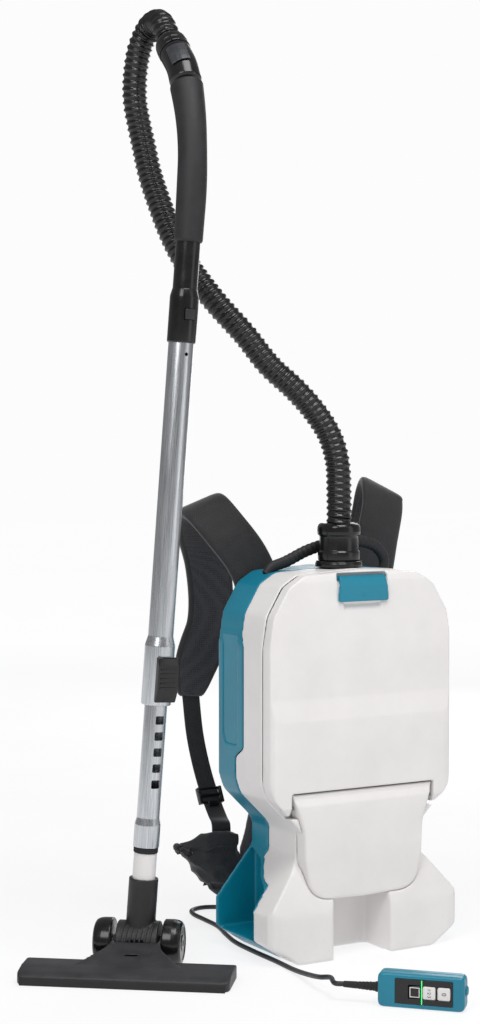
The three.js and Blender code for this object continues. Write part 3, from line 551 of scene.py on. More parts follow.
def varied(tree, shader, low, high, size_mm, detail=4, rough=None, coords="Object", stretch=(1, 1, 1)):
    """Colour, and roughness if given, drifting between two values in patches of about `size_mm`."""
    place = add(tree, "ShaderNodeTexCoord")
    mapping = add(tree, "ShaderNodeMapping", {"Vector": place.outputs[coords], "Scale": stretch})
    patches = add(tree, "ShaderNodeTexNoise", {
        "Vector": mapping.outputs[0], "Scale": 1000 / size_mm, "Detail": detail, "Roughness": 0.6})
    ramp = add(tree, "ShaderNodeValToRGB", {"Fac": patches.outputs["Fac"]})
    ramp.color_ramp.elements[0].position, ramp.color_ramp.elements[0].color = 0.36, tint(low)
    ramp.color_ramp.elements[1].position, ramp.color_ramp.elements[1].color = 0.66, tint(high)
    tree.links.new(ramp.outputs["Color"], shader.inputs["Base Color"])
    if rough:
        level = add(tree, "ShaderNodeMapRange", {
            "Value": patches.outputs["Fac"], "From Min": 0.3, "From Max": 0.7,
            "To Min": rough[0], "To Max": rough[1]})
        tree.links.new(level.outputs["Result"], shader.inputs["Roughness"])
    return mapping, ramp


def pebbled(tree, shader, size_mm, height_mm, vector=None, kind="NOISE"):
    """A fine moulded or spun grain as a bump, about `size_mm` across and `height_mm` deep."""
    if vector is None:
        vector = add(tree, "ShaderNodeTexCoord").outputs["Object"]
    if kind == "NOISE":
        grain = add(tree, "ShaderNodeTexNoise", {"Vector": vector, "Scale": 1000 / size_mm, "Detail": 3})
        height = grain.outputs["Fac"]
    else:
        grain = add(tree, "ShaderNodeTexVoronoi", {"Vector": vector, "Scale": 1000 / size_mm})
        height = grain.outputs["Distance"]
    bump = add(tree, "ShaderNodeBump", {"Height": height, "Strength": 1.0, "Distance": height_mm * 0.001})
    tree.links.new(bump.outputs["Normal"], shader.inputs["Normal"])
    return bump


def shell_finish(name, low, high, rough, scuff):
    """Injection-moulded ABS from a finely spark-eroded mould: an even, soft sheen that blurs highlights,
    faint patches from handling, and a greyer, rougher skin low down where it is knocked and wiped."""
    made, tree, shader = new_finish(name, IOR=1.53)
    mapping, ramp = varied(tree, shader, low, high, 90)
    split = add(tree, "ShaderNodeSeparateXYZ", {0: add(tree, "ShaderNodeTexCoord").outputs["Object"]})
    height = add(tree, "ShaderNodeMapRange", {
        "Value": split.outputs["Z"], "From Min": 0.0, "From Max": 0.11, "To Min": 1.0, "To Max": 0.0})
    # Scuffs are drawn 6 mm long, coarser than real ones, so that they show.
    marks = add(tree, "ShaderNodeTexNoise", {
        "Vector": mapping.outputs[0], "Scale": 160.0, "Detail": 6, "Roughness": 0.75})
    worn = add(tree, "ShaderNodeMapRange", {
        "Value": marks.outputs["Fac"], "From Min": 0.6, "From Max": 0.78, "To Min": 0.0, "To Max": 0.3})
    amount = add(tree, "ShaderNodeMath", {0: height.outputs[0], 1: worn.outputs[0]}, operation="MULTIPLY")
    colour = add(tree, "ShaderNodeMix", {
        "Factor": amount.outputs[0], "A": ramp.outputs["Color"], "B": tint(scuff)}, data_type="RGBA")
    tree.links.new(colour.outputs["Result"], shader.inputs["Base Color"])
    level = add(tree, "ShaderNodeMapRange", {
        "Value": amount.outputs[0], "To Min": rough, "To Max": rough + 0.3})
    tree.links.new(level.outputs["Result"], shader.inputs["Roughness"])
    pebbled(tree, shader, 1.1, 0.03)
    return made


def plain_plastic(name, low, high, rough, grain_mm=0.9, height_mm=0.02, **sockets):
    """Moulded plastic of one colour with a drifting polish and a fine grain."""
    made, tree, shader = new_finish(name, IOR=1.5, **sockets)
    varied(tree, shader, low, high, 25, rough=(rough - 0.05, rough + 0.08))
    pebbled(tree, shader, grain_mm, height_mm)
    return made


def brushed_metal(name, low, high, rough, axis, across_mm=0.7):
    """Drawn tube or bar: hairlines along its length, which stretch highlights across them."""
    made, tree, shader = new_finish(name, Metallic=1.0, Roughness=rough, Anisotropic=0.5)
    turn = Vector((0, 0, 1)).rotation_difference(Vector(axis)).to_euler()
    place = add(tree, "ShaderNodeTexCoord")
    level = add(tree, "ShaderNodeVectorRotate", {
        "Vector": place.outputs["Object"], "Rotation": turn}, rotation_type="EULER_XYZ", invert=True)
    mapping = add(tree, "ShaderNodeMapping", {"Vector": level.outputs[0], "Scale": (1, 1, 0.012)})
    hair = add(tree, "ShaderNodeTexNoise", {
        "Vector": mapping.outputs[0], "Scale": 1000 / across_mm, "Detail": 3})
    ramp = add(tree, "ShaderNodeValToRGB", {"Fac": hair.outputs["Fac"]})
    ramp.color_ramp.elements[0].position, ramp.color_ramp.elements[0].color = 0.3, tint(low)
    ramp.color_ramp.elements[1].position, ramp.color_ramp.elements[1].color = 0.7, tint(high)
    tree.links.new(ramp.outputs["Color"], shader.inputs["Base Color"])
    polish = add(tree, "ShaderNodeMapRange", {
        "Value": hair.outputs["Fac"], "To Min": rough - 0.06, "To Max": rough + 0.08})
    tree.links.new(polish.outputs["Result"], shader.inputs["Roughness"])
    bump = add(tree, "ShaderNodeBump", {"Height": hair.outputs["Fac"], "Distance": 0.00002})
    tree.links.new(bump.outputs["Normal"], shader.inputs["Normal"])
    return made


def woven_finish(name, dark, light, thread_mm, rough=0.75, height_mm=0.35):
    """Woven polyester: over-and-under threads, with painted highlights on the thread crowns and painted shade
    between them, over patches of random tone, and a fuzzy sheen at grazing angles. Threads follow the piece's
    own map in metres, drawn at least 1.6 mm wide so that they show."""
    made, tree, shader = new_finish(name, Roughness=rough, Sheen_Weight=0.35, Sheen_Roughness=0.45)
    uv = add(tree, "ShaderNodeUVMap", uv_map="cloth")
    split = add(tree, "ShaderNodeSeparateXYZ", {0: uv.outputs["UV"]})
    rate = math.pi * 1000 / thread_mm
    waves = []
    for axis in ("X", "Y"):
        scaled = add(tree, "ShaderNodeMath", {0: split.outputs[axis], 1: rate}, operation="MULTIPLY")
        waves.append(add(tree, "ShaderNodeMath", {0: scaled.outputs[0]}, operation="SINE").outputs[0])
    product = add(tree, "ShaderNodeMath", {0: waves[0], 1: waves[1]}, operation="MULTIPLY")
    height = add(tree, "ShaderNodeMath", {0: product.outputs[0], 1: 0.5, 2: 0.5}, operation="MULTIPLY_ADD")
    patches = add(tree, "ShaderNodeTexNoise", {
        "Vector": add(tree, "ShaderNodeTexCoord").outputs["Object"], "Scale": 60.0, "Detail": 5})
    mixed = add(tree, "ShaderNodeMath", {
        0: height.outputs[0], 1: patches.outputs["Fac"]}, operation="MULTIPLY")
    # The ramp paints highlights on the thread crowns and shade between the threads; the noise patches are
    # random tone.
    ramp = add(tree, "ShaderNodeValToRGB", {"Fac": mixed.outputs[0]})
    ramp.color_ramp.elements[0].position, ramp.color_ramp.elements[0].color = 0.05, tint(dark)
    ramp.color_ramp.elements[1].position, ramp.color_ramp.elements[1].color = 0.6, tint(light)
    tree.links.new(ramp.outputs["Color"], shader.inputs["Base Color"])
    bump = add(tree, "ShaderNodeBump", {"Height": height.outputs[0], "Distance": height_mm * 0.001})
    tree.links.new(bump.outputs["Normal"], shader.inputs["Normal"])
    return made


def mesh_cloth(name, dark, light, cell_mm=3.2, height_mm=0.6):
    """Spacer mesh: a knitted net of small open cells over foam, with painted shade darkening the inside of
    each cell.
    """
    made, tree, shader = new_finish(name, Roughness=0.85, Sheen_Weight=0.3, Sheen_Roughness=0.5)
    place = add(tree, "ShaderNodeTexCoord")
    cells = add(tree, "ShaderNodeTexVoronoi", {
        "Vector": place.outputs["Object"], "Scale": 1000 / cell_mm, "Randomness": 0.25})
    # The dark end of the ramp is painted shade in each cell's hollow, darkest at its centre.
    ramp = add(tree, "ShaderNodeValToRGB", {"Fac": cells.outputs["Distance"]})
    ramp.color_ramp.elements[0].position, ramp.color_ramp.elements[0].color = 0.12, tint(dark)
    ramp.color_ramp.elements[1].position, ramp.color_ramp.elements[1].color = 0.5, tint(light)
    tree.links.new(ramp.outputs["Color"], shader.inputs["Base Color"])
    bump = add(tree, "ShaderNodeBump", {
        "Height": cells.outputs["Distance"], "Distance": height_mm * 0.001})
    tree.links.new(bump.outputs["Normal"], shader.inputs["Normal"])
    return made


def pleated_paper(name):
    """Filter paper folded into pleats 4 mm apart, cream, with painted shade darkening every fold."""
    made, tree, shader = new_finish(name, Roughness=0.92)
    place = add(tree, "ShaderNodeTexCoord")
    folds = add(tree, "ShaderNodeTexWave", {
        "Vector": place.outputs["Object"], "Scale": 1000 / 4 / 20, "Distortion": 0.2}, bands_direction="X")
    ramp = add(tree, "ShaderNodeValToRGB", {"Fac": folds.outputs["Fac"]})
    # The darker colour of the ramp is painted shade in the folds.
    ramp.color_ramp.elements[0].color, ramp.color_ramp.elements[1].color = tint("#b3aa96"), tint("#efe9dc")
    tree.links.new(ramp.outputs["Color"], shader.inputs["Base Color"])
    bump = add(tree, "ShaderNodeBump", {"Height": folds.outputs["Fac"], "Distance": 0.0015})
    tree.links.new(bump.outputs["Normal"], shader.inputs["Normal"])
    return made


def flat_finish(name, code, rough=0.5, **sockets):
    """A small printed or lit mark of one ink, with a slightly uneven film."""
    made, tree, shader = new_finish(name, Base_Color=tint(code), **sockets)
    film = add(tree, "ShaderNodeTexNoise", {
        "Vector": add(tree, "ShaderNodeTexCoord").outputs["Object"], "Scale": 900.0})
    level = add(tree, "ShaderNodeMapRange", {
        "Value": film.outputs["Fac"], "To Min": rough - 0.06, "To Max": rough + 0.08})
    tree.links.new(level.outputs["Result"], shader.inputs["Roughness"])
    return made


FINISH = {}


def mix_finishes():
    """Every finish, made once."""
    look = bpy.context.scene.vacuum_looks
    FINISH.update(
        white=shell_finish("White ABS, satin moulded", look.white_low, look.white_high, 0.4, "#8f8c88"),
        teal=shell_finish("Teal ABS, satin moulded", look.teal_low, look.teal_high, 0.36, "#0d4f5e"),
        # Blow-moulded polyethylene: dense black with a wet-looking shine on every ridge.
        hose=plain_plastic("Black polyethylene, blown hose", "#09090a", "#121214", 0.26, 3.0, 0.03),
        # Polished polypropylene from a mirror mould: sharp highlights over a deep black.
        gloss=plain_plastic("Black ABS, polished mould", "#0a0a0b", "#131315", 0.2, 4.0, 0.01),
        # Fine-textured ABS: grey-black with broad, soft highlights.
        satin=plain_plastic("Black ABS, fine texture", "#1b1b1d", "#27272a", 0.48, 0.8, 0.05),
        # Soft thermoplastic elastomer over the grip: matt, slightly dusty.
        grip=plain_plastic("Black elastomer, overmoulded grip", "#151517", "#1f1f22", 0.6, 0.7, 0.05),
        # Nozzle housing in textured polypropylene, greyed by dust.
        nozzle=plain_plastic("Charcoal polypropylene, textured", "#262628", "#333337", 0.5, 0.9, 0.06),
        rubber=plain_plastic("Black rubber, moulded", "#161617", "#212123", 0.7, 0.6, 0.05),
        lead=plain_plastic("Dark PVC lead, extruded", "#1d1e21", "#292b2f", 0.45, 1.2, 0.02),
        bristle=plain_plastic("Black nylon bristle", "#0e0e0f", "#19191b", 0.5, 0.5, 0.01),
        slate=plain_plastic("Slate ABS slider, satin", "#2b2c30", "#393b40", 0.42, 0.8, 0.03),
        board=plain_plastic("Green circuit board, lacquered", "#174a2d", "#205f3a", 0.4, 1.5, 0.03),
        tube=brushed_metal("Anodised aluminium tube, drawn", "#a5a8ac", "#dadde0", 0.27, WAND_AXIS),
        fan=brushed_metal("Aluminium impeller, spun", "#a4a6aa", "#cfd2d6", 0.35, (0, 0, 1)),
        steel=brushed_metal("Steel, ground bright", "#8d8f93", "#c3c6ca", 0.3, ALONG_AXLE),
        strap=woven_finish("Black polyester cordura, woven", "#0b0b0c", "#27272b", 1.8, 0.7, 0.3),
        webbing=woven_finish("Black polyester webbing, woven", "#0c0c0d", "#2b2b2f", 2.2, 0.6, 0.4),
        net=mesh_cloth("Charcoal spacer mesh, knitted", "#0a0a0b", "#37373c"),
        # Its cells are the quilting's dimples, darkened by the same painted shade.
        padding=mesh_cloth("Black quilted polyester, padded", "#131315", "#2a2a2e", 1.7, 0.25),
        pleats=pleated_paper("Cream filter paper, pleated"),
        fleece=plain_plastic("White fleece, spunbond", "#d8d2c6", "#ece8df", 0.9, 1.0, 0.25),
        ink=flat_finish("Black pad-printed ink", "#1a1b1d", 0.4),
        thread=plain_plastic("Black nylon thread, sewn", "#202023", "#333338", 0.5, 0.4, 0.02),
        lamp=flat_finish("Green light strip", "#2bd65a", 0.3, Emission_Color=tint("#35e06a"),
                         Emission_Strength=1.6),
    )


# ---- What a user would change ------------------------------------------------------------------------


class VacuumLooks(bpy.types.PropertyGroup):
    """Colours of the shells, as sRGB hex."""

    white_low: bpy.props.StringProperty(
        name="White, darker", description="Darker tint of the white shells", default="#e1dedd")
    white_high: bpy.props.StringProperty(
        name="White, lighter", description="Lighter tint of the white shells", default="#e7e4e3")
    teal_low: bpy.props.StringProperty(
        name="Teal, darker", description="Darker tint of the teal shells", default="#007690")
    teal_high: bpy.props.StringProperty(
        name="Teal, lighter", description="Lighter tint of the teal shells", default="#007e97")


class VacuumSizes(bpy.types.PropertyGroup):
    """Sizes of repeated and soft details."""

    hose_radius: bpy.props.FloatProperty(
        name="Hose radius", description="Outside radius of the suction hose over its ridges",
        default=0.019, min=0.01, max=0.03, unit="LENGTH")
    hose_pitch: bpy.props.FloatProperty(
        name="Hose pitch", description="Distance between the hose's ridges",
        default=0.0095, min=0.004, max=0.02, unit="LENGTH")
    hose_ridge: bpy.props.FloatProperty(
        name="Hose ridge", description="Height of the hose's ridges",
        default=0.0024, min=0.0005, max=0.004, unit="LENGTH")
    lead_radius: bpy.props.FloatProperty(
        name="Lead radius", description="Radius of the remote's lead",
        default=0.0035, min=0.001, max=0.006, unit="LENGTH")
    shell_grain: bpy.props.FloatProperty(
        name="Shell facet, mm", description="Facet size of the moulded shells' skin, in millimetres",
        default=2.0, min=1.0, max=6.0)
    bristle_pitch: bpy.props.FloatProperty(
        name="Bristle pitch, mm", description="Distance between tufts of the floor brush, in millimetres",
        default=4.0, min=2.0, max=20.0)
    stitch_pitch: bpy.props.FloatProperty(
        name="Stitch pitch, mm", description="Distance between stitches on the straps, in millimetres",
        default=6.0, min=2.0, max=20.0)


# ---- Stage and cords ---------------------------------------------------------------------------------


def lamp(name, spot, target, size, power, colour="#ffffff"):
    """A large soft panel light aimed at a point."""
    light = bpy.data.lights.new(name, "AREA")
    light.shape, light.size, light.size_y = "RECTANGLE", size[0], size[1]
    light.energy, light.color = power, tint(colour)[:3]
    made = bpy.data.objects.new(name, light)
    made.location = spot
    made.rotation_euler = (Vector(target) - Vector(spot)).to_track_quat("-Z", "Y").to_euler()
    bpy.context.scene.collection.objects.link(made)
    return made


class VACUUM_OT_stage(bpy.types.Operator):
    """Make the camera, the floor, the backdrop and the studio lights"""

    bl_idname = "vacuum.stage"
    bl_label = "Stage"

    def execute(self, context):
        scene = context.scene
        data = bpy.data.cameras.new("Camera")
        data.lens, data.sensor_width, data.clip_end = 69.75, 36, 50
        camera = bpy.data.objects.new("Camera", data)
        camera.location = PACK @ Vector((-1584.7, -2453.4, 746.6))
        camera.rotation_euler = Vector((0.5, 0.866, -0.0363)).to_track_quat("-Z", "Y").to_euler()
        scene.collection.objects.link(camera)
        scene.camera = camera
        middle_x, middle_y = PORT.x, PORT.y

        # A flat pale floor, one sheet reaching far behind.
        floor_mesh = bpy.data.meshes.new("floor")
        half = 14.0
        floor_mesh.from_pydata(
            [(middle_x - half, middle_y - half, 0), (middle_x + half, middle_y - half, 0),
             (middle_x + half, middle_y + half, 0), (middle_x - half, middle_y + half, 0)],
            [], [(0, 1, 2, 3)])
        floor = bpy.data.objects.new("floor", floor_mesh)
        scene.collection.objects.link(floor)
        made, tree, shader = new_finish("Pale studio paper, lit from below", Roughness=0.9,
                                        Specular_IOR_Level=0.1, Emission_Color=tint("#fbfbfc"),
                                        Emission_Strength=0.8)
        varied(tree, shader, "#7b7b7b", "#828281", 700)
        # Far from the lamps the paper glows a little more, so that it meets the backdrop evenly.
        spot = add(tree, "ShaderNodeTexCoord").outputs["Object"]
        away = add(tree, "ShaderNodeVectorMath", {0: spot, 1: (middle_x, middle_y, 0)},
                   operation="DISTANCE")
        glow = add(tree, "ShaderNodeMapRange", {
            "Value": away.outputs["Value"], "From Min": 0.6, "From Max": 4.5, "To Min": 0.8,
            "To Max": 0.94})
        tree.links.new(glow.outputs["Result"], shader.inputs["Emission Strength"])
        floor_mesh.materials.append(made)

        # The studio is dimmer than its white backdrop, so that black parts stay black.
        world = bpy.data.worlds.new("Studio")
        world.use_nodes = True
        tree = world.node_tree
        backdrop = tree.nodes["Background"]
        backdrop.inputs["Color"].default_value = tint("#fcfcfd")
        seen = add(tree, "ShaderNodeLightPath").outputs["Is Camera Ray"]
        level = add(tree, "ShaderNodeMapRange")
        level.inputs["To Min"].default_value = 0.3
        level.inputs["To Max"].default_value = 1.0
        tree.links.new(seen, level.inputs["Value"])
        tree.links.new(level.outputs["Result"], backdrop.inputs["Strength"])
        scene.world = world
        scene.view_settings.view_transform = "Standard"
        target = PACK @ Vector((-60, 0, 550))
        lamp("Key light", PACK @ Vector((-2300, -1500, 2300)), target, (1.2, 1.6), 30)
        lamp("Fill light", PACK @ Vector((1500, -2300, 1500)), target, (1.2, 2.4), 8)
        lamp("Top light", PACK @ Vector((-200, -1300, 3200)), target, (1.6, 1.6), 56)
        lamp("Back light", PACK @ Vector((1800, 1900, 1500)), target, (1.4, 2.0), 20)
        return {"FINISHED"}


def hose_line():
    """The hose's route, from the handle's end to the cuff on the pack."""
    end, way = handle_end()
    to_pack = PACK.inverted()
    lead = [to_pack @ (WAND @ (end + way * reach)) for reach in (24.4, 34)]
    return [tuple(p) for p in lead] + HOSE_LINE


def handle_end():
    """The far end of the handle's curve and its direction, in the wand's frame."""
    points = curve_points(HANDLE_LINE, 801)
    way = points[-1] - points[-2]
    return Vector(points[-1]), Vector(way / np.linalg.norm(way))


class VACUUM_OT_cords(bpy.types.Operator):
    """Make the ribbed suction hose and the remote's lead"""

    bl_idname = "vacuum.cords"
    bl_label = "Hose and lead"

    def execute(self, context):
        sizes = context.scene.vacuum_sizes
        line = hose_line()
        route = [PACK @ Vector(p) for p in curve_points(line, 120)]
        curve = bpy.data.curves.new("suction_hose", "CURVE")
        curve.dimensions = "3D"
        spline = curve.splines.new("POLY")
        spline.points.add(len(route) - 1)
        for point, spot in zip(spline.points, route):
            point.co = (*spot, 1)
        drawn = bpy.data.objects.new("hose_line", curve)
        context.scene.collection.objects.link(drawn)
        tree = ribbed_hose_tree()
        mod = drawn.modifiers.new("Ribbed hose", "NODES")
        mod.node_group = tree
        names = {i.name: i.identifier for i in tree.interface.items_tree if i.in_out == "INPUT"}
        for title, value in (("Radius", sizes.hose_radius), ("Ridge height", sizes.hose_ridge),
                             ("Pitch", sizes.hose_pitch), ("Finish", FINISH["hose"])):
            mod[names[title]] = value
        graph = context.evaluated_depsgraph_get()
        mesh = bpy.data.meshes.new_from_object(drawn.evaluated_get(graph), depsgraph=graph)
        bpy.data.objects.remove(drawn)
        hose = bpy.data.objects.new("suction_hose", mesh)
        context.scene.collection.objects.link(hose)
        finish_piece(hose, "pack", None, ["hose"])
        length_of(line) * 0.001

        reach = [REMOTE @ Vector((-x, 0, 22.7)) for x in (118, 106.9)]
        lead_line = LEAD_LINE + [tuple(PACK.inverted() @ p) for p in reach]
        lead = swept("remote_lead", lead_line, round_section(sizes.lead_radius * 1000, 16), 260)
        finish_piece(lead, "pack", FINISH["lead"], ["remote_cable"])
        lead_route = [PACK @ Vector(p) for p in curve_points(lead_line, 160)]
        length_of(lead_line) * 0.001
        return {"FINISHED"}


# ---- Pack ---------------------------------------------------------------------------------------------


def crowned_cover(points):
    """The motor cover's front swells a few millimetres between its edges, as a moulded cover does."""
    x, y, z = points.T
    across = np.clip(1 - (x / 112) ** 2, 0, 1)
    up = np.clip(1 - ((z - 165) / 84) ** 2, 0, 1)
    front = np.clip((-y - 60) / 12, 0, 1)
    out = points.copy()
    out[:, 1] = y - 1.6 * across * up * front
    return out


def crowned_door(points):
    """The door's lower field swells gently below its ledge and is flat above it."""
    x, y, z = points.T
    across = np.clip(1 - (x / 150) ** 2, 0, 1)
    up = np.clip(1 - ((z - 296) / 54) ** 2, 0, 1)
    front = np.clip((-y - 64) / 6, 0, 1)
    out = points.copy()
    out[:, 1] = y - 1.2 * across * up * front
    return out


class VACUUM_OT_shells(bpy.types.Operator):
    """Make the frame, the dust housing, the motor cover, the dust door and its latch"""

    bl_idname = "vacuum.shells"
    bl_label = "Pack shells"

    def execute(self, context):
        grain = context.scene.vacuum_sizes.shell_grain
        white, teal = FINISH["white"], FINISH["teal"]
        moulded("frame_shell", ["rear_frame"], grain * 1.2, 3, 190000, "pack", teal)
        # The thin floors of the frame's side panels, which close its openings.
        across = placed(PACK @ Vector((0, 0, 0)), (0, 1, 0), (0, 0, 1), (1, 0, 0))
        for name, near in (("left", -156.8), ("right", 154.9)):
            floor = prism(f"side_panel_{name}", [(25, 302), (70, 302), (70, 464), (25, 464)],
                          (near, near + 1.9), across, 0.0)
            finish_piece(floor, "pack", teal)
        moulded("housing_shell", ["dust_housing"], grain * 1.1, 3, 190000, "pack", white)
        moulded("cover_shell", ["motor_cover"], grain * 0.9, 4, 150000, "pack", white,
                crowned_cover)
        moulded("door_shell", ["dust_door"], grain * 0.9, 3, 190000, "dust_door", white,
                crowned_door)
        moulded("latch_shell", ["door_latch"], 1.0, 3, 40000, "door_latch", teal)
        # A small raised arrow shows where to pull.
        arrow = prism("latch_arrow", [(-4, 0), (4, 0), (0, -5)], (0, 0.8),
                      placed(PACK @ Vector((0, -68.7, 525)), (1, 0, 0), (0, 0, 1), (0, -1, 0)), 0.2)
        finish_piece(arrow, "door_latch", teal)
        return {"FINISHED"}


class VACUUM_OT_port(bpy.types.Operator):
    """Make the hose port, its turning cuff and the carry handle"""

    bl_idname = "vacuum.port"
    bl_label = "Hose port and carry handle"

    def execute(self, context):
        port = turned("port_collar", [
            (20, 532), (24, 532), (24, 545), (26.6, 549), (26.6, 560.6), (35, 560.6), (35, 565.5),
            (34, 567), (34, 568.4), (32.4, 569.6), (24.4, 569.6), (24.4, 600), (20, 600)], radius=1.0)
        finish_piece(port, "pack", FINISH["gloss"], ["inlet_port"])
        cuff = turned("hose_collar", [
            (24.8, 570), (30.4, 570), (31.2, 571.5), (31.2, 582), (29.2, 585), (28.6, 604), (29.4, 606),
            (31.7, 608), (32, 612), (31.7, 619), (30, 622.6), (26.4, 625), (19.3, 625), (19.3, 601),
            (24.8, 601)], radius=0.9)
        finish_piece(cuff, "hose_cuff", FINISH["gloss"], ["hose_cuff"])

        def ribs(t):
            swell = 0.5 + 0.5 * math.cos(t * 2 * math.pi * 30)
            inside = 1 if 0.14 < t < 0.86 else 0
            return (0.93 + 0.07 * swell * inside,) * 2

        handle = swept("carry_grip", CARRY_LINE, round_section(9, 28, 0.8), 420, size=ribs, sharp=60)
        finish_piece(handle, "pack", FINISH["grip"], ["carry_handle"])
        return {"FINISHED"}


class VACUUM_OT_insides(bpy.types.Operator):
    """Give the dust bag, filter, motor, fan, board, terminals and hinge pins their finishes"""

    bl_idname = "vacuum.insides"
    bl_label = "Inside the pack"

    def execute(self, context):
        looks = {
            "fleece": ["dust_bag", "bag_plate"], "pleats": ["hepa_filter"],
            "satin": ["filter_frame", "fan_shroud", "battery_terminal_left", "battery_terminal_right"],
            "rubber": ["door_seal", "motor_mount", "cable_gland"],
            "steel": ["motor_can", "motor_shaft", "hinge_pin_left", "hinge_pin_right", "nozzle_axle"],
            "fan": ["fan_impeller"], "board": ["controller_board"],
        }
        for finish, nodes in looks.items():
            for node in nodes:
                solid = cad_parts[node]
                solid.data.materials.clear()
                solid.data.materials.append(FINISH[finish])
        # The dust bag is a soft bag, full and creased: a skin over its solid with folds pressed into it.
        bag = copied("fleece_bag", "dust_bag")
        skin = bag.modifiers.new("skin", "REMESH")
        skin.mode, skin.voxel_size = "VOXEL", 0.004
        ease = bag.modifiers.new("ease", "SMOOTH")
        ease.factor, ease.iterations = 0.6, 8
        settled(bag)
        creased(bag, 26, 2.2, seed=3)
        bag.data.shade_smooth()
        finish_piece(bag, "pack", FINISH["fleece"], ["dust_bag"])
        return {"FINISHED"}


# ---- Soft pieces --------------------------------------------------------------------------------------


def creased(made, size_mm, depth_mm, seed=0, inward=0.5):
    """Presses soft folds of about `size_mm` into a piece, at most `depth_mm` deep."""
    mesh = made.data
    moves = []
    for v in mesh.vertices:
        spot = v.co * (1000 / size_mm) + Vector((seed * 7.3, seed * 3.1, 0))
        fold = 1 - abs(noise.noise(spot)) * 2.2
        swell = noise.noise(spot * 0.45 + Vector((9, 0, 0)))
        moves.append(v.co + v.normal * ((fold - inward - 0.5) * 0.6 + swell * 0.5) * depth_mm * 0.001)
    for v, co in zip(mesh.vertices, moves):
        v.co = co
    mesh.update()


def stuffed(name, node, grain_mm, cap_mm, held=None, pressure=4.0):
    """A padded piece: its solid, shrunk a little, skinned and blown up as cloth, each point moving at most
    `cap_mm`; points for which `held` is true stay where they are."""
    made = copied(name, node)
    centre = sum((v.co for v in made.data.vertices), Vector()) / len(made.data.vertices)
    for v in made.data.vertices:
        v.co = centre + (v.co - centre) * 0.97
    skin = made.modifiers.new("skin", "REMESH")
    skin.mode, skin.voxel_size = "VOXEL", grain_mm * 0.001
    ease = made.modifiers.new("ease", "SMOOTH")
    ease.factor, ease.iterations = 0.5, 3
    settled(made)
    rest = [v.co.copy() for v in made.data.vertices]
    if held:
        group = made.vertex_groups.new(name="held")
        to_pack = PACK.inverted()
        fixed = [i for i, co in enumerate(rest) if held(to_pack @ co)]
        if fixed:
            group.add(fixed, 1.0, "REPLACE")
    cloth = made.modifiers.new("cloth", "CLOTH")
    cloth.settings.use_pressure = True
    cloth.settings.uniform_pressure_force = pressure
    cloth.settings.effector_weights.gravity = 0
    cloth.settings.quality = 4
    cloth.point_cache.frame_start, cloth.point_cache.frame_end = 1, 20
    if held and fixed:
        cloth.settings.vertex_group_mass = "held"
    for number in range(1, 21):
        bpy.context.scene.frame_set(number)
    settled(made)
    bpy.context.scene.frame_set(1)
    for v, co in zip(made.data.vertices, rest):
        move = v.co - co
        if move.length > cap_mm * 0.001:
            v.co = co + move.normalized() * cap_mm * 0.001
    finer = made.modifiers.new("finer", "SUBSURF")
    finer.levels = finer.render_levels = 1
    settled(made)
    made.data.shade_smooth()
    return made


def drooped(made):
    """Folds a wing of the hip belt upwards to a narrow end, as it lies when nobody wears it, and draws its
    root in to the lumbar pad."""
    to_pack = PACK.inverted()
    low, high = (to_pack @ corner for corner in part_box("hip_belt_left"))
    for v in made.data.vertices:
        spot = to_pack @ v.co
        out = min(max((abs(spot.x) - 110) / 76, 0), 1)
        spot.x -= math.copysign(16 * max(0, 1 - (abs(spot.x) - 97) / 20), spot.x)
        part = (spot.z - low.z) / (high.z - low.z)
        bottom, top = low.z + 92 * out ** 1.5, high.z - 24 * out ** 2
        spot.z = bottom + part * (top - bottom)
        v.co = PACK @ spot
    made.data.update()


def channel(made, depth_mm, width_mm, distance):
    """Sews a channel into a padded piece wherever `distance(point)` in pack millimetres is near 0."""
    to_pack = PACK.inverted()
    for v in made.data.vertices:
        away = abs(distance(to_pack @ v.co))
        if away < width_mm:
            v.co -= v.normal * depth_mm * 0.001 * (0.5 + 0.5 * math.cos(math.pi * away / width_mm))
    made.data.update()


def strap_spots(line, width, inset, face, pitch, size, steps=400, side=(1, 0, 0), thick=13):
    """Places for stitches along both edges of one face of a strap."""
    total = length_of(line)
    points = curve_points(line, steps)
    ways, across, up = frames_along(points, side)
    lift = thick / 2 * max(0.0, 1 - (abs(width / 2 - inset) / (width / 2)) ** 5) ** 0.35
    spots = []
    for k in range(int((total - 20) / pitch)):
        i = int((10 + k * pitch) / total * (steps - 1))
        for edge in (-1, 1):
            wide, deep = size(i / (steps - 1))
            spot = points[i] + across[i] * edge * (width / 2 * wide - inset) + up[i] * face * lift * deep
            spots.append((spot, up[i] * face, ways[i]))
    return spots


def stitch_shape(length=3.6, thick=0.9):
    """One sewn stitch, a short low bar of thread."""
    size = Matrix.Scale(0.001, 4)
    return block("stitch", (-length / 2, -thick / 2, -thick * 0.4), (length / 2, thick / 2, thick * 0.55),
                 size, edge=thick * 0.3, segments=1)


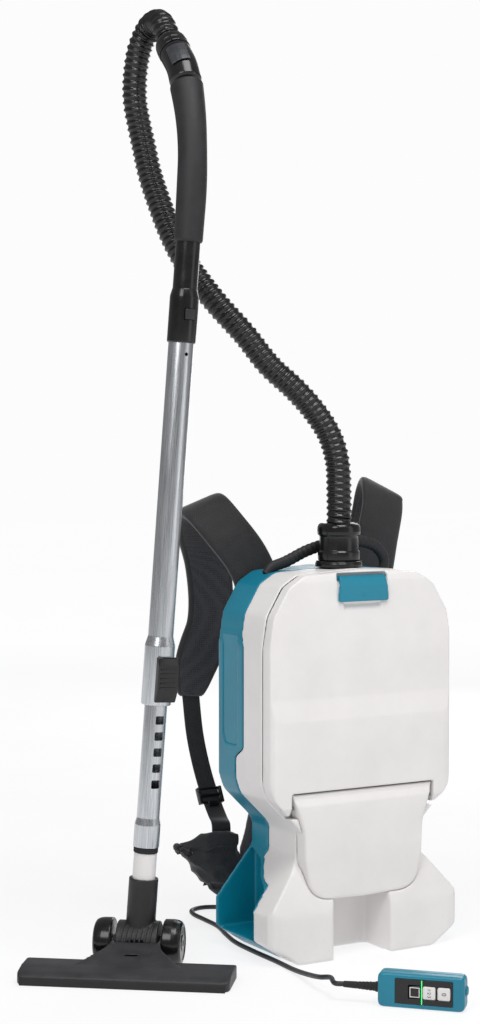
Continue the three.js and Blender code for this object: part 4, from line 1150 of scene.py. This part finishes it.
class VACUUM_OT_pads(bpy.types.Operator):
    """Make the back pad, the lumbar pad and the two wings of the hip belt"""

    bl_idname = "vacuum.pads"
    bl_label = "Pads"

    def execute(self, context):
        back = stuffed("back_cushion", "back_pad", 4.5, 5, lambda p: p.y < 86)
        channel(back, 2.6, 5, lambda p: (p.z - 360) - 0.25 * abs(p.x))
        channel(back, 2.6, 5, lambda p: (p.z - 425) - 0.25 * abs(p.x))
        channel(back, 2.6, 5, lambda p: (p.z - 295) - 0.25 * abs(p.x))
        finish_piece(back, "pack", FINISH["net"], ["back_pad"])
        lumbar = stuffed("lumbar_cushion", "lumbar_pad", 5, 6, lambda p: p.y < 88)
        channel(lumbar, 3, 6, lambda p: abs(p.x) - 52)
        finish_piece(lumbar, "pack", FINISH["net"], ["lumbar_pad"])
        for name, seed in (("left", 1), ("right", 2)):
            wing = stuffed(f"hip_wing_{name}", f"hip_belt_{name}", 4.5, 6)
            drooped(wing)
            channel(wing, 3, 6, lambda p: p.z - 128)
            channel(wing, 3, 6, lambda p: p.z - 72)
            creased(wing, 30, 7, seed)
            finish_piece(wing, "pack", FINISH["padding"], [f"hip_belt_{name}"])
        return {"FINISHED"}


class VACUUM_OT_straps(bpy.types.Operator):
    """Make the padded shoulder straps with their binding and stitches, the webbing and the buckles"""

    bl_idname = "vacuum.straps"
    bl_label = "Straps, webbing and buckles"

    def execute(self, context):
        pitch = context.scene.vacuum_sizes.stitch_pitch
        for name, side in (("left", -1), ("right", 1)):
            line = STRAP_LINES[name]

            def strap_size(t):
                taper = 1 - 0.45 * max(0, (t - 0.86) / 0.14) ** 2
                return taper, 1 + 0.06 * math.sin(t * 40) * (0.2 < t < 0.9)

            section = pad_section(74, 13.4, 7)
            strap = swept(f"strap_pad_{name}", line, section, 200, size=strap_size, ends=7, sharp=60)
            strap.data.materials.append(FINISH["strap"])
            strap.data.materials.append(FINISH["net"])
            half = strap.data.uv_layers["cloth"].data
            girth = 0.5 * max(d.uv[0] for d in half)
            for poly in strap.data.polygons:
                u = sum(half[i].uv[0] for i in poly.loop_indices) / len(poly.loop_indices)
                poly.material_index = 1 if 0.12 * girth < u < 0.88 * girth else 0
            finish_piece(strap, "pack", None, [f"shoulder_strap_{name}"])
            spots = (strap_spots(line, 74, 7, -1, pitch, strap_size)
                     + strap_spots(line, 74, 7, 1, pitch, strap_size))
            sewn = repeated(f"strap_stitches_{name}", spots, stitch_shape(), FINISH["thread"])
            finish_piece(sewn, "pack", None)

            # The webbing is sewn into the pad's end above and into the hip belt below.
            top, below = (np.array(p) for p in WEBBING_LINES[name][:2])
            sewn_in = tuple(top + (top - below) / np.linalg.norm(top - below) * 14)
            belt = (WEBBING_LINES[name][-1][0], 150, 146)
            web_line = [sewn_in, *WEBBING_LINES[name], belt]
            web = swept(f"webbing_strip_{name}", web_line, pad_section(30, 2.6, 12, 32), 90,
                        size=lambda t: (1, 1), sharp=60)
            finish_piece(web, "pack", FINISH["webbing"], [f"strap_webbing_{name}"])
            lean = math.radians(-28)
            local = placed(PACK @ Vector((-109 if side < 0 else 107.4, 195, 201)), (1, 0, 0),
                           (0, math.cos(lean), math.sin(lean)), (0, -math.sin(lean), math.cos(lean)))
            bars = [block("rail", (s * 18.6 - 2.4, -4.6, -13), (s * 18.6 + 2.4, 4.6, 13), local, 1.4)
                    for s in (-1, 1)]
            for z, y in ((-11, 0), (0, -2.2), (11, 0.5)):
                bars.append(block("bar", (-19, y - 2.6, z - 2), (19, y + 2.6, z + 2), local, 1.2))
            bars.append(block("tab", (-9, -6.8, -19), (9, -4, -10), local, 1.2))
            buckle = joined(f"ladder_buckle_{name}", bars)
            finish_piece(buckle, "pack", FINISH["gloss"], [f"strap_buckle_{name}"])
        return {"FINISHED"}


# ---- Wand ---------------------------------------------------------------------------------------------


class VACUUM_OT_tubes(bpy.types.Operator):
    """Make the two telescopic tubes, their lock, the white sleeve and the seal ring"""

    bl_idname = "vacuum.tubes"
    bl_label = "Wand tubes"

    def execute(self, context):
        outer = turned("wand_outer_tube", [
            (16.6, 340), (20.9, 340), (21.5, 341.5), (21.5, 424), (18, 437), (18, 878), (16.6, 878)],
            WAND, 96, 0.8)
        cut_from(outer, [block("slot", (-5, -30, 366), (5, -10, 386), WAND, 1.5)])
        holes = [turned("hole", [(0.01, -30), (2.6, -30), (2.6, -12), (0.01, -12)], placed(
            WAND @ Vector((0, 0, s)), WAND.col[0][:3], WAND.col[2][:3], WAND.col[1][:3]), 20, 0.1)
            for s in (836,)]
        cut_from(outer, holes)
        finish_piece(outer, "pack", FINISH["tube"], ["outer_tube"])
        inner = turned("wand_inner_tube", [
            (15, 152), (16.9, 144), (16.9, 136.8), (18.5, 136.8), (18.5, 169), (16.2, 178.5), (16.2, 432),
            (15, 432)], WAND, 96, 0.8)
        cutters = [block("notch", (-6.5, -25, 222 + i * 22.8), (6.5, -13, 234 + i * 22.8), WAND, 1.6)
                   for i in range(5)]
        cut_from(inner, cutters)
        finish_piece(inner, "inner_tube", FINISH["tube"], ["inner_tube"])
        sleeve = turned("wand_sleeve", [(13, 50), (16.4, 50), (16.4, 128.4), (13, 128.4)], WAND, 72, 0.8)
        finish_piece(sleeve, "inner_tube", FINISH["white"], ["wand_end_cuff"])
        seal = turned("wand_seal", [
            (13, 129), (17.2, 129), (17.6, 130), (17.6, 131.6), (17, 132.4), (17.6, 133.2), (17.6, 136.3),
            (13, 136.3)], WAND, 72, 0.4)
        finish_piece(seal, "inner_tube", FINISH["rubber"], ["wand_seal_ring"])
        side = placed(AXLE, WAND.col[1][:3], WAND.col[2][:3], WAND.col[0][:3])
        lock = prism("lock_body", [
            (-31, 360), (-31, 398), (-27.6, 410), (-22.2, 410), (-22.2, 346), (-27.6, 346)], (-16, 16), side,
            1.6, 2.5)
        parts = [lock, block("lock_pin", (-4, -24, 370), (4, -17.2, 380), WAND, 0.6)]
        parts += [block("lock_rib", (-12, -32.3, 366 + i * 6.5), (12, -30.4, 368.6 + i * 6.5), WAND, 0.7)
                  for i in range(5)]
        slider = joined("tube_lock_button", parts)
        finish_piece(slider, "tube_lock", FINISH["gloss"], ["tube_lock_slider"])
        return {"FINISHED"}


class VACUUM_OT_handle(bpy.types.Operator):
    """Make the bent handle, its soft grip, the lock button, the suction slider and the hose's end cuff"""

    bl_idname = "vacuum.handle"
    bl_label = "Handle"

    def execute(self, context):
        socket = turned("handle_socket", [
            (16.9, 852), (19.6, 852), (20.5, 853.5), (20.5, 917), (17.8, 928), (14, 928), (14, 882),
            (16.9, 879)], WAND, 72, 1.2)
        cut_from(socket, [block("seat", (-8.3, -26, 883.7), (8.3, -15.8, 900.3), WAND, 0.8)])

        def bar_size(t):
            rise = min(max((t - 0.822) / 0.016, 0), 1)
            swell = 1 + 0.33 * rise * rise * (3 - 2 * rise) - 0.06 * max(0, (t - 0.985) / 0.015)
            return swell, swell

        bar = swept("handle_bar", HANDLE_LINE, round_section(17.5, 56), 220, WAND, size=bar_size, sharp=50)
        body = joined("handle_tube", [socket, bar])
        finish_piece(body, "pack", FINISH["gloss"], ["handle_body"])

        total = length_of(HANDLE_LINE)
        fine = curve_points(HANDLE_LINE, 801)
        grip_line = [tuple(fine[int(800 * t)]) for t in np.linspace(0.19, 0.821, 14)]

        def grip_size(t):
            ends = min(t, 1 - t) * 0.63 * total
            edge = 1 - 0.08 * max(0, 1 - ends / 4) ** 2
            flare = max(0, (t - 0.5) / 0.5)
            palm = math.exp(-(((t - 0.32) / 0.2) ** 2))
            wide = edge * (1 + 0.05 * palm + 0.17 * flare**1.6)
            return wide, edge * (1 + 0.03 * palm + 0.2 * flare**1.6)

        grip = swept("handle_sleeve", grip_line, round_section(20.4, 56), 120, WAND, size=grip_size, sharp=50)
        finish_piece(grip, "pack", FINISH["grip"], ["handle_grip"])
        button = block("lock_button", (-7.5, -21.8, 884.5), (7.5, -17.6, 899.5), WAND, 1.1)
        finish_piece(button, "handle_lock", FINISH["satin"], ["handle_lock_button"])

        moulded("suction_shutter", ["suction_slider"], 0.7, 2, 60000, "suction_control",
                FINISH["slate"])
        rotate = WAND.to_3x3()

        end, way = handle_end()
        z = rotate @ way
        x = rotate @ Vector((1, 0, 0))
        cuff = turned("hose_end_ring", [
            (14, 0.3), (23.2, 0.3), (24, 1.3), (24, 8), (23.2, 9), (23.2, 10), (24, 11), (23.6, 18),
            (22.4, 22.5), (20.5, 24), (14, 24)],
            placed(WAND @ end, x, z.cross(x), z), 72, 0.6)
        finish_piece(cuff, "hose_end_cuff", FINISH["gloss"], ["hose_end_cuff"])
        return {"FINISHED"}


# ---- Nozzle -------------------------------------------------------------------------------------------


class VACUUM_OT_nozzle(bpy.types.Operator):
    """Make the neck, the nozzle, its bumper, brush and wheels"""

    bl_idname = "vacuum.nozzle"
    bl_label = "Floor nozzle"

    def execute(self, context):
        moulded("neck_shell", ["neck_elbow"], 1.3, 3, 120000, "neck", FINISH["satin"])
        # Seven slanting fins stand on the front of the neck's barrel, clear of the tilting nozzle.
        ribs = []
        for w in range(-21, 22, 7):
            for k in range(3, 17):
                angle = math.radians(-178 + k * 4.2)
                out = (0, math.cos(angle), -math.sin(angle))
                ribs.append(((w + 0.32 * k - 2.6, 30 * out[1], 30 * out[2]), out, (1, 0, 0)))
        shape = block("rib", (-1.5, -1.35, -0.8), (1.5, 1.35, 1.5), Matrix.Scale(0.001, 4), 0.4, 1)
        made = repeated("neck_ribs", ribs, shape, FINISH["satin"], NOZZLE)
        finish_piece(made, "neck", None)
        moulded("nozzle_shell", ["nozzle_body"], 1.7, 3, 190000, "nozzle", FINISH["nozzle"])
        bumper = block("nozzle_lip", (-143, -132, -33), (143, -128.3, -22), NOZZLE, 1.4)
        finish_piece(bumper, "nozzle", FINISH["rubber"], ["nozzle_bumper"])
        pitch = context.scene.vacuum_sizes.bristle_pitch
        strip = block("brush_strip", (-138, -120.6, -27.5), (138, -117, -22.3), NOZZLE, 0.6)
        tufts = [((w, -118.8 + 0.5 * (-1) ** k, -27.5), (0.06 * math.sin(k * 2.3), 0, -1), (1, 0, 0))
                 for k, w in enumerate(np.arange(-136, 136.1, pitch))]
        tuft = turned("tuft", [(0.01, 0), (1.3, 0), (1.7, 5.4), (0.01, 5.4)], Matrix.Scale(0.001, 4), 7, 0.1)
        hairs = repeated("brush_tufts", tufts, tuft, FINISH["bristle"], NOZZLE)
        finish_piece(strip, "nozzle", FINISH["bristle"], ["bristle_strip"])
        finish_piece(hairs, "nozzle", None)
        for name, side in (("left", -1), ("right", 1)):
            local = placed(AXLE, Vector((0, 0, 1)), (NOZZLE.to_3x3() @ Vector((0, 1, 0))) * -side,
                           (NOZZLE.to_3x3() @ Vector((1, 0, 0))) * side)
            wheel = turned(f"wheel_{name}", [
                (4.3, 36.6), (31.6, 36.6), (33, 38), (33, 50), (32.2, 56), (30.2, 60.5), (27, 62.8),
                (24, 63), (22.8, 62), (21, 62), (12, 62), (11, 63), (4.3, 63)], local, 96, 0.8)
            finish_piece(wheel, f"wheel_{name}", FINISH["gloss"], [f"nozzle_wheel_{name}"])
        return {"FINISHED"}


# ---- Remote -------------------------------------------------------------------------------------------


def numerals(name, text, size, place):
    """Flat printed characters, centred on the local origin in its XY plane."""
    curve = bpy.data.curves.new(name, "FONT")
    curve.body, curve.size, curve.extrude = text, size, 0.12
    curve.align_x, curve.align_y = "CENTER", "CENTER"
    drawn = bpy.data.objects.new(name, curve)
    bpy.context.scene.collection.objects.link(drawn)
    graph = bpy.context.evaluated_depsgraph_get()
    mesh = bpy.data.meshes.new_from_object(drawn.evaluated_get(graph), depsgraph=graph)
    bpy.data.objects.remove(drawn)
    mesh.transform(place)
    made = bpy.data.objects.new(name, mesh)
    bpy.context.scene.collection.objects.link(made)
    tidy(made, 30)
    return made


class VACUUM_OT_remote(bpy.types.Operator):
    """Make the remote with its panel, buttons, printed numbers, light strip and strain relief"""

    bl_idname = "vacuum.remote"
    bl_label = "Remote"

    def execute(self, context):
        teal = FINISH["teal"]
        moulded("remote_face", ["remote_front"], 0.9, 2, 60000, "pack", teal)
        moulded("remote_rear", ["remote_back"], 0.9, 2, 60000, "pack", teal)
        moulded("remote_plate", ["remote_panel"], 0.5, 1, 30000, "pack", FINISH["gloss"])
        front = placed(REMOTE_SPOT, REMOTE.col[0][:3], REMOTE.col[2][:3], -Vector(REMOTE.col[1][:3]))
        buttons = {"stop": (31, "white", "0"), "speed": (11.4, "white", "1·2·3"), "mode": (-7.6, "gloss", "")}
        back = -Vector(REMOTE.col[1][:3])
        for name, (x, finish, text) in buttons.items():
            cap = block(f"cap_{name}", (x - 8.5, 14.5, 12.4), (x + 8.5, 31.5, 15.4), front, 2.2)
            finish_piece(cap, f"button_{name}", FINISH[finish], [f"button_{name}"])
            if text:
                spot = placed(REMOTE @ Vector((x, -15.5, 23)), -Vector(REMOTE.col[2][:3]),
                              REMOTE.col[0][:3], back)
                mark = numerals(f"number_{name}", text, 8.5 if name == "stop" else 6.2, spot)
                finish_piece(mark, f"button_{name}", FINISH["ink"])
        # The mode key carries a printed outline of a key.
        ring = block("mode_mark", (-14.2, 16.4, 15.3), (-1, 29.6, 15.55), front, 0.1)
        cut_from(ring, [block("inside", (-13.2, 17.4, 15), (-2, 28.6, 16), front, 0.05)])
        finish_piece(ring, "button_mode", FINISH["white"])
        strip = block("light_strip", (0.9, 7.2, 14.1), (2.1, 38.8, 14.45), front, 0.2)
        finish_piece(strip, "pack", FINISH["lamp"])
        stud = turned("end_stud", [(0.01, 0), (7, 0), (6.4, 2), (4.5, 3.2), (0.01, 3.6)], placed(
            REMOTE @ Vector((57.6, 1, 26)), REMOTE.col[1][:3], REMOTE.col[2][:3], REMOTE.col[0][:3]), 32, 0.8)
        finish_piece(stud, "pack", teal)
        relief = turned("lead_relief", [
            (0.01, 0), (7, 0), (7, 4), (6, 5), (6, 8), (5.2, 9), (6, 10), (5.8, 13), (5, 14), (5.7, 15),
            (5.5, 18), (4.8, 19), (5.4, 20), (5.2, 23), (4.6, 24), (5.1, 25), (4.9, 28), (4.3, 29),
            (4.8, 30), (4.2, 48), (0.01, 48)],
            placed(REMOTE @ Vector((-58.3, 0, 22.7)), REMOTE.col[1][:3], REMOTE.col[2][:3],
                   -Vector(REMOTE.col[0][:3])), 40, 0.4)
        finish_piece(relief, "pack", FINISH["rubber"], ["strain_relief"])
        return {"FINISHED"}


# ---- Sidebar and registration ------------------------------------------------------------------------

STEPS = [VACUUM_OT_stage, VACUUM_OT_cords, VACUUM_OT_shells, VACUUM_OT_port, VACUUM_OT_insides,
         VACUUM_OT_pads, VACUUM_OT_straps, VACUUM_OT_tubes, VACUUM_OT_handle, VACUUM_OT_nozzle,
         VACUUM_OT_remote]


class VACUUM_PT_pieces(bpy.types.Panel):
    """Every piece of the vacuum cleaner, in the order in which it is made"""

    bl_idname = "VACUUM_PT_pieces"
    bl_label = "Backpack vacuum cleaner"
    bl_space_type = "VIEW_3D"
    bl_region_type = "UI"
    bl_category = "Vacuum"

    def draw(self, context):
        for group in (context.scene.vacuum_looks, context.scene.vacuum_sizes):
            for name in group.__annotations__:
                self.layout.prop(group, name)
        for step in STEPS:
            self.layout.operator(step.bl_idname)


CLASSES = [VacuumLooks, VacuumSizes, *STEPS, VACUUM_PT_pieces]


def register():
    for kind in CLASSES:
        bpy.utils.register_class(kind)
    bpy.types.Scene.vacuum_looks = bpy.props.PointerProperty(type=VacuumLooks)
    bpy.types.Scene.vacuum_sizes = bpy.props.PointerProperty(type=VacuumSizes)


def unregister():
    del bpy.types.Scene.vacuum_looks
    del bpy.types.Scene.vacuum_sizes
    for kind in reversed(CLASSES):
        bpy.utils.unregister_class(kind)


def main():
    register()
    mix_finishes()
    for step in STEPS:
        group, name = step.bl_idname.split(".")
        getattr(getattr(bpy.ops, group), name)()


if __name__ == "__main__":
    main()
